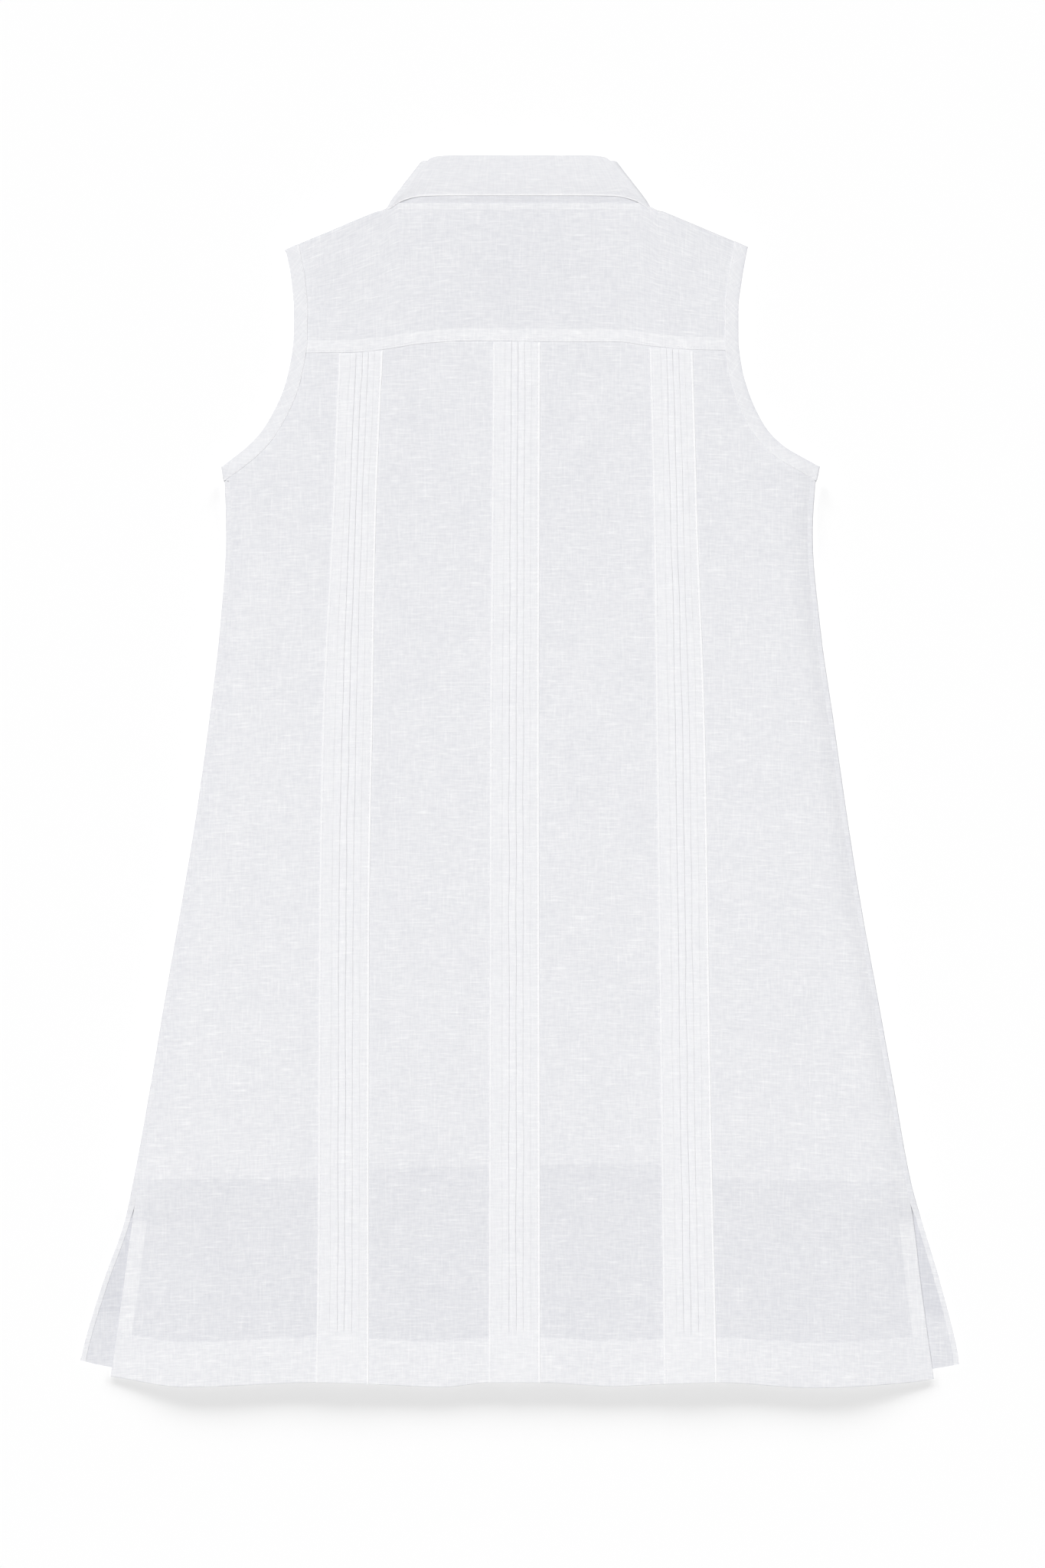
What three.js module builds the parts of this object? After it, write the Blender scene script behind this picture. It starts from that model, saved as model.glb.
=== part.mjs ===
// A sleeveless linen guayabera dress, laid flat with its back up.
// Millimetres, +Z up, +Y towards the collar. The front's outer face lies on z = 0.
// The origin is under the middle of the laid-out dress.
import * as THREE from 'three';

// Driving dimensions
const CLOTH = 1.2;
const LINING_CLOTH = 1.0;
const GAP = 0.3;
const LAYER = CLOTH + GAP;
const LINING_LAYER = LINING_CLOTH + GAP;
const SEAM_IN = 4.3;
const SIDE_ROLL_RADIUS = 2;
const SIDE_RETURN = 2;
const SIDE_LEVEL = 2.8;
const BINDING_WIDTH = 11;
const BINDING_CLEAR = 0.45;
const HEM_RAISE = 0.7;
const VENT_FACING = 11.3;
const TUCK_WIDTH = 3;
const TUCK_HEIGHT = 0.9;
const TUCK_STEP = 0.35;
const TUCK_PLACES = [0.19, 0.38, 0.52, 0.66, 0.82];
const YOKE_LAP = 10;
const YOKE_LEVEL = 4.5;
const YOKE_SIDE_LEVEL = 3.3;
const FRONT_LIFT = 1.5;
const LIFT_START = 350;
const LIFT_END = 362;
const PLACKET_HALF = 15;
const PLACKET_TOP = 375;
const FRONT_HEM = -474;
const BUTTON_RADIUS = 5.75;
const BUTTON_COUNT = 8;
const BUTTON_PITCH = 100;
const BUTTON_TOP = 362;
const BUTTON_PROFILE = [
  [0, 0.25], [2.6, 0.25], [3.6, 0], [5.3, 0], [BUTTON_RADIUS, 0.45], [BUTTON_RADIUS, 0.8],
  [5.2, CLOTH], [0, CLOTH],
];
const COLLAR_MIDDLE = 3.6;
const COLLAR_ROLL = 1.35;
const COLLAR_LEG = 3;
const STAND_OUT = 0.9;
// The rows just below and above the hem's sewing, and the middle of the lining's own hem
const HEM_FOLD = -445.5;
const HEM_SEWN = -443.5;
const LINING_HEM_MIDDLE = -319;
// Where the side vents start and how far their facings take to reach full thickness
const VENT_TOP = -352;
const VENT_EASE = 12;
// Between these two heights the front's side turns from pressed flat to fully round
const ROLL_FLAT = -376;
const ROLL_FULL = -346;
const FRONT_CORNER = { x: 345, y: -462 };
const FRONT_NECK_BEND = 44.5;
// The corner of the outline under the arm, and the binding's lower end there
const UNDER_ARM = 239.4;
const BINDING_LOW = 228;
const BENT_ROWS = 3;
// The binding climbs from the back onto the yoke between these distances below its seam
const CLIMB = { start: 5, end: 1.5 };
const BINDING_TIP = 2.6;
const SHOULDER_SLANT = THREE.MathUtils.degToRad(24);
const SHOULDER_HEIGHT = 400;

// How far the back rises from its side level to its field level, by distance in from the side
const CROWN = [
  { inside: 4.3, rise: 0 },
  { inside: 11.3, rise: 0.55 },
  { inside: 18, rise: 0.85 },
  { inside: 27, rise: 1 },
];

// The outline of the laid-out dress, and the back's own edge, which leaves it at the side vents
const SIDES = [
  { y: -490, left: -351, right: 349, backLeft: -323.4, backRight: 326.8 },
  { y: -462, left: -345, right: 345, backLeft: -319.3, backRight: 322.9 },
  { y: -444, left: -340.6, right: 341.2, backLeft: -316.7, backRight: 320.4 },
  { y: -400, left: -327, right: 329.8, backLeft: -310.6, backRight: 314.5 },
  { y: VENT_TOP, left: -310, right: 315.4, backLeft: -304, backRight: 308.8 },
  { y: -324, left: -303.8, right: 307.4, backLeft: -299.5, backRight: 303.1 },
  { y: -247, left: -289.8, right: 293.4, backLeft: -285.5, backRight: 289.1 },
  { y: -175, left: -277.8, right: 280.4, backLeft: -273.5, backRight: 276.1 },
  { y: -103, left: -265.2, right: 267.4, backLeft: -260.9, backRight: 263.1 },
  { y: -31, left: -253.4, right: 256.2, backLeft: -249.1, backRight: 251.9 },
  { y: 41, left: -243.6, right: 246, backLeft: -239.3, backRight: 241.7 },
  { y: 113, left: -235.2, right: 235.8, backLeft: -230.9, backRight: 231.5 },
  { y: 185, left: -230.4, right: 229.8, backLeft: -226.1, backRight: 225.5 },
  { y: BINDING_LOW, left: -231.6, right: 232.2, backLeft: -227.3, backRight: 227.9 },
  { y: UNDER_ARM, left: -233.4, right: 234.6, backLeft: -229.1, backRight: 230.3 },
  { y: 246, left: -224.8, right: 222.6, backLeft: -220.5, backRight: 218.3 },
  { y: 254, left: -214.8, right: 208.8, backLeft: -210.5, backRight: 204.5 },
  { y: 266, left: -203.2, right: 195.8, backLeft: -198.9, backRight: 191.5 },
  { y: 281, left: -193.8, right: 186.4, backLeft: -189.5, backRight: 182.1 },
  { y: 299, left: -185.4, right: 178.8, backLeft: -181.1, backRight: 174.5 },
  { y: 317, left: -180.6, right: 174, backLeft: -176.3, backRight: 169.7 },
  { y: 340, left: -177.4, right: 171.4, backLeft: -173.1, backRight: 167.1 },
  { y: 362, left: -177.2, right: 171.4, backLeft: -172.9, backRight: 167.1 },
  { y: 385, left: -179, right: 174, backLeft: -174.7, backRight: 169.7 },
  { y: 410, left: -183.6, right: 178.4, backLeft: -179.3, backRight: 174.1 },
];

// The lower edge of the back, and the seam where the yoke's turned edge is sewn over it
const HEM_MIDDLE = -480;
const HEM_LINE = [
  { x: -321, y: -474.5 },
  { x: -263, y: -482.4 },
  { x: -160, y: -478.8 },
  { x: -117, y: -480 },
  { x: -60, y: -482.4 },
  { x: -24, y: -478.8 },
  { x: 18, y: -478.8 },
  { x: 73, y: -481.8 },
  { x: 113, y: -480 },
  { x: 155, y: -478.8 },
  { x: 229, y: -483 },
  { x: 307, y: -479 },
  { x: 325, y: -476.4 },
];
const YOKE_MIDDLE = 336.6;
const YOKE_LINE = [
  { x: -170, y: 328 },
  { x: -134, y: 328.2 },
  { x: -107, y: 330.6 },
  { x: -75, y: 335.4 },
  { x: -38, y: 337.4 },
  { x: 13, y: 336.9 },
  { x: 77, y: 336.6 },
  { x: 100, y: 333.6 },
  { x: 135, y: 330.6 },
  { x: 165, y: 330 },
];
const LINING_HEM = [
  { x: -300, y: -319.5 },
  { x: -165, y: -318.4 },
  { x: -110, y: -311 },
  { x: -30, y: -309 },
  { x: 100, y: -307 },
  { x: 150, y: -319 },
  { x: 300, y: -321 },
];

// Rows across the back. Each follows a share of the hem's and of the yoke seam's waves,
// and level is how high the underside of the back lies there, away from the sides.
const LOW = 3.9;
const OVER_LINING = 5.4;
const ROWS = [
  { y: HEM_MIDDLE, hem: 1, yoke: 0, level: LOW, raised: 1 },
  { y: HEM_FOLD, hem: 1, yoke: 0, level: LOW, raised: 1 },
  { y: HEM_SEWN, hem: 1, yoke: 0, level: LOW, raised: 0 },
  { y: -400, hem: 0.5, yoke: 0, level: LOW, raised: 0 },
  { y: VENT_TOP, hem: 0, yoke: 0, level: LOW, raised: 0 },
  { y: -324, hem: 0, yoke: 0, level: OVER_LINING, raised: 0 },
  ...[-247, -175, -103, -31, 41, 113, 185, BINDING_LOW, UNDER_ARM, 246, 254, 266, 281, 299].map(
    (y) => ({ y, hem: 0, yoke: 0, level: OVER_LINING, raised: 0 }),
  ),
  { y: YOKE_MIDDLE - 18, hem: 0, yoke: 1, level: OVER_LINING, raised: 0 },
  { y: YOKE_MIDDLE - 6, hem: 0, yoke: 1, level: LOW, raised: 0 },
  { y: YOKE_MIDDLE + YOKE_LAP, hem: 0, yoke: 1, level: LOW, raised: 0 },
];

// Both edges of the three applied bands of tucks, down the back
const BANDS = {
  left: [
    { y: -480, from: -160, to: -118.2 },
    { y: -385, from: -158.6, to: -118.2 },
    { y: -115, from: -157.2, to: -117.6 },
    { y: 35, from: -154.8, to: -115.2 },
    { y: 185, from: -147.6, to: -112.8 },
    { y: 330, from: -141.6, to: -107 },
  ],
  centre: [
    { y: -480, from: -24.6, to: 16.2 },
    { y: -265, from: -24, to: 15.8 },
    { y: 35, from: -23.4, to: 15.2 },
    { y: 185, from: -22.2, to: 15.6 },
    { y: 336, from: -21, to: 16.2 },
  ],
  right: [
    { y: -480, from: 112.8, to: 154.8 },
    { y: -265, from: 110.4, to: 150 },
    { y: 35, from: 106.8, to: 145.2 },
    { y: 185, from: 104.9, to: 139.8 },
    { y: 330, from: 101.4, to: 135.6 },
  ],
};

// The line where the yoke turns over each shoulder, from the neck out, for either side
const SHOULDER_LINE = [
  { x: 94.6, y: 444.5 },
  { x: 103, y: 441 },
  { x: 112, y: 439.6 },
  { x: 183.6, y: 409.4 },
];
const NECK_HALF = 94.6;
const NECK_Y = 445.7;
// The same points on the front: where the yoke's flap ends and the front panels start
const FLAP_END = { neckX: 75.3, neckY: 424.6, armY: 388 };

// The collar, from the centre back round one side to the centre front. The fold is its top,
// the edge is the fall's free edge, the seam is the stand's lower edge, and turn is how far
// the collar has turned from the back to the front of the neck.
const COLLAR = [
  { foldX: 0, foldY: 483, edgeX: 0, edgeY: 451.2, seamX: 0, seamY: 446, turn: 0 },
  { foldX: 40, foldY: 483, edgeX: 46, edgeY: 451.2, seamX: 42, seamY: 446, turn: 0 },
  { foldX: 60, foldY: 482.6, edgeX: 74, edgeY: 450.8, seamX: 66, seamY: 446, turn: 0 },
  { foldX: 68, foldY: 481.2, edgeX: 90, edgeY: 447.6, seamX: 84, seamY: 446.4, turn: 0 },
  ...[0, 45, 90, 135, 180].map((turn) => ({
    foldX: 71.6, foldY: 478.8, edgeX: 101.2, edgeY: 440.8, seamX: 96.3, seamY: 447.1, turn,
  })),
  { foldX: 54, foldY: 449, edgeX: 84, edgeY: 408, seamX: 75, seamY: 425, turn: 180 },
  { foldX: 29, foldY: 424, edgeX: 66, edgeY: 384, seamX: 45, seamY: 398, turn: 180 },
  { foldX: 4, foldY: 408, edgeX: 50, edgeY: 366, seamX: 8, seamY: 376, turn: 180 },
];

// The front neckline, from the opening out
const FRONT_NECK = COLLAR.slice(-3).reverse();

// Reading the tables
function along(rows, key, at, column) {
  const last = rows.length - 1;
  let k = 0;
  while (k < last - 1 && at > rows[k + 1][key]) k += 1;
  const span = rows[k + 1][key] - rows[k][key];
  const share = THREE.MathUtils.clamp((at - rows[k][key]) / span, 0, 1);
  return THREE.MathUtils.lerp(rows[k][column], rows[k + 1][column], share);
}

const hemWave = (x) => along(HEM_LINE, 'x', x, 'y') - HEM_MIDDLE;
const yokeWave = (x) => along(YOKE_LINE, 'x', x, 'y') - YOKE_MIDDLE;
const rowY = (row, x) => row.y + row.hem * hemWave(x) + row.yoke * yokeWave(x);
const crown = (inside) => along(CROWN, 'inside', inside, 'rise');

function outline(side, y) {
  return along(SIDES, 'y', y, side);
}

// How far a point of the back lies in from the back's own edge, plus the seam's own inset
function insideOf(x, y) {
  const left = x - along(SIDES, 'y', y, 'backLeft');
  const right = along(SIDES, 'y', y, 'backRight') - x;
  return Math.min(left, right) + SEAM_IN;
}

function rowColumn(x, y, column) {
  const last = ROWS.length - 1;
  let k = 0;
  while (k < last - 1 && y > rowY(ROWS[k + 1], x)) k += 1;
  const low = rowY(ROWS[k], x);
  const share = THREE.MathUtils.clamp((y - low) / (rowY(ROWS[k + 1], x) - low), 0, 1);
  return THREE.MathUtils.lerp(ROWS[k][column], ROWS[k + 1][column], share);
}

// The underside of the back and the top of it, at any point
function backLevel(x, y) {
  const field = rowColumn(x, y, 'level');
  return SIDE_LEVEL + (field - SIDE_LEVEL) * crown(insideOf(x, y));
}

function ventShare(y) {
  return THREE.MathUtils.clamp((VENT_TOP - y) / VENT_EASE, 0, 1);
}

function backTop(x, y) {
  const raise = HEM_RAISE * rowColumn(x, y, 'raised');
  const facing = insideOf(x, y) <= VENT_FACING + 0.01 ? HEM_RAISE * ventShare(y) : 0;
  return backLevel(x, y) + CLOTH + Math.max(raise, facing);
}

function yokeUnder(x, y) {
  const seam = along(YOKE_LINE, 'x', x, 'y');
  const lapped = THREE.MathUtils.clamp((seam + 2 * YOKE_LAP - y) / (YOKE_LAP - GAP), 0, 1);
  const rise = crown(insideOf(x, y));
  const plain = YOKE_SIDE_LEVEL + (YOKE_LEVEL - YOKE_SIDE_LEVEL) * rise;
  const over = SIDE_LEVEL + (LOW - SIDE_LEVEL) * rise + LAYER;
  return THREE.MathUtils.lerp(plain, over, lapped);
}

function frontLevel(y) {
  return FRONT_LIFT * THREE.MathUtils.clamp((y - LIFT_START) / (LIFT_END - LIFT_START), 0, 1);
}

// The volume inside a closed set of triangles, negative where they face inwards
function volume(positions, index) {
  const corner = (k) => new THREE.Vector3().fromArray(positions, 3 * index[k]);
  let sum = 0;
  for (let k = 0; k < index.length; k += 3) {
    sum += corner(k).dot(corner(k + 1).cross(corner(k + 2))) / 6;
  }
  return sum;
}

// A wall of cloth between two grids of points, which faces out whichever grid comes first.
// Cells that has() leaves out are openings, and a looped wall joins its last row to its first.
function clothWall(under, over, has = () => true, looped = false) {
  const rows = under.length;
  const columns = under[0].length;
  const positions = [...under, ...over].flat().flatMap((p) => [p.x, p.y, p.z]);
  const lower = (i, j) => (i % rows) * columns + j;
  const upper = (i, j) => rows * columns + lower(i, j);
  const lastRow = looped ? rows : rows - 1;
  const cell = (i, j) => {
    const row = looped ? (i + rows) % rows : i;
    return row >= 0 && row < lastRow && j >= 0 && j < columns - 1 && has(row, j);
  };
  const index = [];
  const quad = (a, b, c, d) => index.push(a, b, c, a, c, d);
  for (let i = 0; i < lastRow; i += 1) {
    for (let j = 0; j < columns - 1; j += 1) {
      if (!cell(i, j)) continue;
      quad(upper(i, j), upper(i, j + 1), upper(i + 1, j + 1), upper(i + 1, j));
      quad(lower(i, j), lower(i + 1, j), lower(i + 1, j + 1), lower(i, j + 1));
      if (!cell(i - 1, j)) quad(lower(i, j), lower(i, j + 1), upper(i, j + 1), upper(i, j));
      if (!cell(i + 1, j)) {
        quad(lower(i + 1, j + 1), lower(i + 1, j), upper(i + 1, j), upper(i + 1, j + 1));
      }
      if (!cell(i, j - 1)) quad(lower(i + 1, j), lower(i, j), upper(i, j), upper(i + 1, j));
      if (!cell(i, j + 1)) {
        quad(lower(i, j + 1), lower(i + 1, j + 1), upper(i + 1, j + 1), upper(i, j + 1));
      }
    }
  }
  if (volume(positions, index) < 0) index.reverse();
  const used = [...new Set(index)].sort((a, b) => a - b);
  const place = new Map(used.map((vertex, k) => [vertex, k]));
  const kept = used.flatMap((vertex) => positions.slice(3 * vertex, 3 * vertex + 3));
  const geometry = new THREE.BufferGeometry();
  geometry.setAttribute('position', new THREE.Float32BufferAttribute(kept, 3));
  geometry.setIndex(index.map((vertex) => place.get(vertex)));
  geometry.computeVertexNormals();
  return geometry;
}

const point = (x, y, z) => new THREE.Vector3(x, y, z);

// Where a row across the back meets the back's own edge
function rowEnd(row, side) {
  let y = row.y;
  let x = 0;
  for (let pass = 0; pass < 6; pass += 1) {
    x = along(SIDES, 'y', y, side);
    y = rowY(row, x);
  }
  return x;
}

// Columns across the back: close together where the sides fall, and on the bands' edges
function backColumns(row) {
  const left = rowEnd(row, 'backLeft');
  const right = rowEnd(row, 'backRight');
  const steps = CROWN.map((c) => c.inside - SEAM_IN);
  const bands = Object.values(BANDS).flatMap((band) => [
    along(band, 'y', row.y, 'from'),
    along(band, 'y', row.y, 'to'),
  ]);
  const panes = [
    (bands[1] + bands[2]) / 2,
    (bands[3] + bands[4]) / 2,
  ];
  const inner = [...bands, ...panes].sort((a, b) => a - b);
  return [
    ...steps.map((s) => left + s),
    ...inner,
    ...steps.map((s) => right - s).reverse(),
  ];
}

function backPanel() {
  const at = (height) => ROWS.map((row) => backColumns(row).map((x) => {
    const y = rowY(row, x);
    return point(x, y, height(x, y));
  }));
  return clothWall(at(backLevel), at(backTop));
}

function liningPanel() {
  const yokeRow = ROWS.findIndex((row) => row.yoke > 0);
  const firstRow = ROWS.findIndex((row) => row.level > LOW) + 1;
  const plain = ROWS.slice(firstRow, yokeRow + 1);
  const hemRow = { y: LINING_HEM_MIDDLE, hem: 0, yoke: 0 };
  const level = (x, y) => backLevel(x, y) - LINING_LAYER;
  const at = (rise) => [hemRow, ...plain].map((row) => backColumns(row).map((x) => {
    const y = row === hemRow ? along(LINING_HEM, 'x', x, 'y') : rowY(row, x);
    return point(x, y, level(x, y) + rise);
  }));
  return clothWall(at(0), at(LINING_CLOTH));
}

// A band of cloth laid down the back, with five tucks that are pressed to the left.
// The tucks are raised in its outer points, and stop where the hem is sewn.
function tuckBand(band) {
  const top = YOKE_MIDDLE - GAP;
  const stations = [
    { y: HEM_MIDDLE, hem: 1, yoke: 0, tucks: 0 },
    { y: HEM_FOLD, hem: 1, yoke: 0, tucks: 0 },
    { y: HEM_SEWN, hem: 1, yoke: 0, tucks: 1 },
    { y: -440, hem: 1, yoke: 0, tucks: 1 },
    ...[-385, VENT_TOP, -324, -265, -115, 35, 185, 281].map((y) => ({ y, hem: 0, yoke: 0, tucks: 1 })),
    { y: YOKE_MIDDLE - 18, hem: 0, yoke: 1, tucks: 1 },
    { y: YOKE_MIDDLE - 6, hem: 0, yoke: 1, tucks: 1 },
    { y: top, hem: 0, yoke: 1, tucks: 1 },
  ];
  const under = [];
  const over = [];
  for (const station of stations) {
    const from = along(band, 'y', station.y, 'from');
    const to = along(band, 'y', station.y, 'to');
    const places = [{ x: from, tuck: 0 }];
    for (const share of TUCK_PLACES) {
      const ridge = THREE.MathUtils.lerp(from, to, share);
      places.push({ x: ridge - TUCK_WIDTH, tuck: 0 });
      places.push({ x: ridge, tuck: 1 });
      places.push({ x: ridge + TUCK_STEP, tuck: 0 });
    }
    places.push({ x: to, tuck: 0 });
    const lift = station.y <= HEM_SEWN ? HEM_RAISE : 0;
    const low = ({ x }) => {
      const y = rowY(station, x);
      return point(x, y, backLevel(x, y) + CLOTH + lift + GAP);
    };
    const high = (place) => {
      const p = low(place);
      p.z += CLOTH + TUCK_HEIGHT * place.tuck * station.tucks;
      return p;
    };
    under.push(places.map(low));
    over.push(places.map(high));
  }
  return clothWall(under, over);
}

// One front panel, the left one seen from the back. It lies on its outer face, and its side
// turns up round the side of the dress to the side seam. At the vent it lies flat.
const PANEL_SHARES = [0, 0.2, 0.4, 0.6, 0.8, 1];
const ROLL_STEPS = 6;

function sideSection(edge, turn) {
  const length = Math.PI * SIDE_ROLL_RADIUS;
  const bend = Math.max(turn, 0.001) / SIDE_ROLL_RADIUS;
  const steps = Array.from({ length: ROLL_STEPS + 1 }, (_, k) => (length * k) / ROLL_STEPS);
  const outer = steps.map((s) => ({
    x: Math.sin(bend * s) / bend,
    z: (1 - Math.cos(bend * s)) / bend,
    angle: bend * s,
  }));
  const end = outer[ROLL_STEPS];
  outer.push({
    x: end.x + SIDE_RETURN * Math.cos(end.angle),
    z: end.z + SIDE_RETURN * Math.sin(end.angle),
    angle: end.angle,
  });
  const reach = Math.max(...outer.map((p) => p.x));
  return outer.map((p) => ({
    x: edge - reach + p.x,
    z: p.z,
    innerX: edge - reach + p.x - CLOTH * Math.sin(p.angle),
    innerZ: p.z + CLOTH * Math.cos(p.angle),
  }));
}

// The binding's inner line on one armhole, by height, measured square to the armhole's edge
function armholePoints(side) {
  const sign = side === 'left' ? -1 : 1;
  const rows = SIDES.filter((row) => row.y >= UNDER_ARM);
  return rows.map((row, k) => {
    const before = rows[Math.max(k - 1, 0)];
    const after = rows[Math.min(k + 1, rows.length - 1)];
    const across = point(-(after.y - before.y), after[side] - before[side], 0).normalize();
    across.multiplyScalar(sign);
    return { edge: point(row[side], row.y, 0), inward: across };
  });
}

function armholeInner(side, width) {
  const sign = side === 'left' ? -1 : 1;
  const points = armholePoints(side).map(({ edge, inward }) => (
    edge.clone().addScaledVector(inward, width)
  ));
  points[0].set(outline(side, BINDING_LOW) - sign * GAP, BINDING_LOW, 0);
  return points;
}

function crossing(points, y) {
  let k = 0;
  while (k < points.length - 2 && y > points[k + 1].y) k += 1;
  const share = (y - points[k].y) / (points[k + 1].y - points[k].y);
  return THREE.MathUtils.lerp(points[k].x, points[k + 1].x, share);
}

// Where the yoke's flap meets the binding on the front of a shoulder
function flapArmX(side) {
  return Math.abs(crossing(armholeInner(side, BINDING_WIDTH + 2 * GAP), FLAP_END.armY));
}

function frontPanel(side) {
  const sign = side === 'left' ? -1 : 1;
  const middle = PLACKET_HALF + GAP;
  const inner = armholeInner(side, BINDING_WIDTH + GAP);
  const armX = flapArmX(side);
  const lowRows = [FRONT_CORNER.y, -444, -424, -400, ROLL_FLAT, -362, VENT_TOP, -324, -247, -175,
    -103, -31, 41, 113, 185, BINDING_LOW - 2 * GAP];
  const armholeRows = inner.slice(1).map((p) => p.y).filter((y) => y < LIFT_START);
  const highRows = [...armholeRows, LIFT_START, LIFT_END];
  const topCurve = [
    { x: middle, y: along(FRONT_NECK, 'seamX', middle, 'seamY') - 2 * GAP },
    { x: FRONT_NECK_BEND, y: along(FRONT_NECK, 'seamX', FRONT_NECK_BEND, 'seamY') - 2 * GAP },
    ...[0, 1 / 3, 2 / 3, 1].map((share) => ({
      x: THREE.MathUtils.lerp(FLAP_END.neckX, armX, share),
      y: THREE.MathUtils.lerp(FLAP_END.neckY, FLAP_END.armY, share) - 2 * GAP,
    })),
  ];
  const under = [];
  const over = [];
  const hollow = PANEL_SHARES.length - 1;
  lowRows.forEach((y, k) => {
    const turn = THREE.MathUtils.smoothstep(y, ROLL_FLAT, ROLL_FULL);
    const section = sideSection(Math.abs(outline(side, y)), turn);
    const flat = PANEL_SHARES.slice(0, -1).map((share) => ({
      x: THREE.MathUtils.lerp(middle, section[0].x, share),
      share,
    }));
    const drop = (x) => (k === 0 ? (FRONT_HEM - y) * (1 - (x / FRONT_CORNER.x) ** 2) : 0);
    under.push([
      ...flat.map(({ x }) => point(sign * x, y + drop(x), 0)),
      ...section.map((p) => point(sign * p.x, y + drop(p.x), p.z)),
    ]);
    over.push([
      ...flat.map(({ x }) => point(sign * x, y + drop(x), CLOTH)),
      ...section.map((p) => point(sign * p.innerX, y + drop(p.x), p.innerZ)),
    ]);
  });
  const addHigh = (places) => {
    const full = [...places];
    while (full.length < under[0].length) full.push(places[places.length - 1]);
    under.push(full.map((p) => point(p.x, p.y, frontLevel(p.y))));
    over.push(full.map((p) => point(p.x, p.y, frontLevel(p.y) + CLOTH)));
  };
  for (const y of highRows) {
    const end = Math.abs(crossing(inner, y));
    addHigh(PANEL_SHARES.map((share) => ({
      x: sign * THREE.MathUtils.lerp(middle, end, share),
      y,
    })));
  }
  const lastRow = under[under.length - 1].slice(0, PANEL_SHARES.length);
  for (const share of [0.5, 1]) {
    addHigh(topCurve.map((top, k) => ({
      x: THREE.MathUtils.lerp(lastRow[k].x, sign * top.x, share),
      y: THREE.MathUtils.lerp(lastRow[k].y, top.y, share),
    })));
  }
  const has = (i, j) => i < lowRows.length - 1 || j < hollow;
  return clothWall(under, over, has);
}

// The outer band of the front opening has a round seat for each button, so that it lies flat
function placketBand(seats) {
  const shape = new THREE.Shape();
  shape.moveTo(-PLACKET_HALF, FRONT_HEM);
  shape.lineTo(PLACKET_HALF, FRONT_HEM);
  shape.lineTo(PLACKET_HALF, PLACKET_TOP);
  shape.lineTo(-PLACKET_HALF, PLACKET_TOP);
  shape.closePath();
  for (const y of seats) {
    const seat = new THREE.Path();
    seat.absarc(0, y, BUTTON_RADIUS + GAP, 0, 2 * Math.PI, true);
    shape.holes.push(seat);
  }
  return new THREE.ExtrudeGeometry(shape, { depth: CLOTH, bevelEnabled: false, curveSegments: 9 });
}

function button() {
  const profile = BUTTON_PROFILE.map(([radius, height]) => new THREE.Vector2(radius, height));
  const geometry = new THREE.LatheGeometry(profile, 16);
  geometry.rotateX(Math.PI / 2);
  return geometry;
}

// The yoke: up the back from its lapped edge, over each shoulder, and down to the front seam
const SHOULDER_STEPS = [0, 36, 72, 108, 144, 180];

function yokeColumns(rowOf) {
  const left = rowOf('backLeft');
  const right = rowOf('backRight');
  const steps = CROWN.map((c) => c.inside - SEAM_IN);
  return [
    ...steps.map((s) => left + s),
    -122, -NECK_HALF, -60, -20, 20, 60, NECK_HALF, 120,
    ...steps.map((s) => right - s).reverse(),
  ];
}

function shoulderY(x) {
  return along(SHOULDER_LINE, 'x', Math.abs(x), 'y');
}

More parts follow.
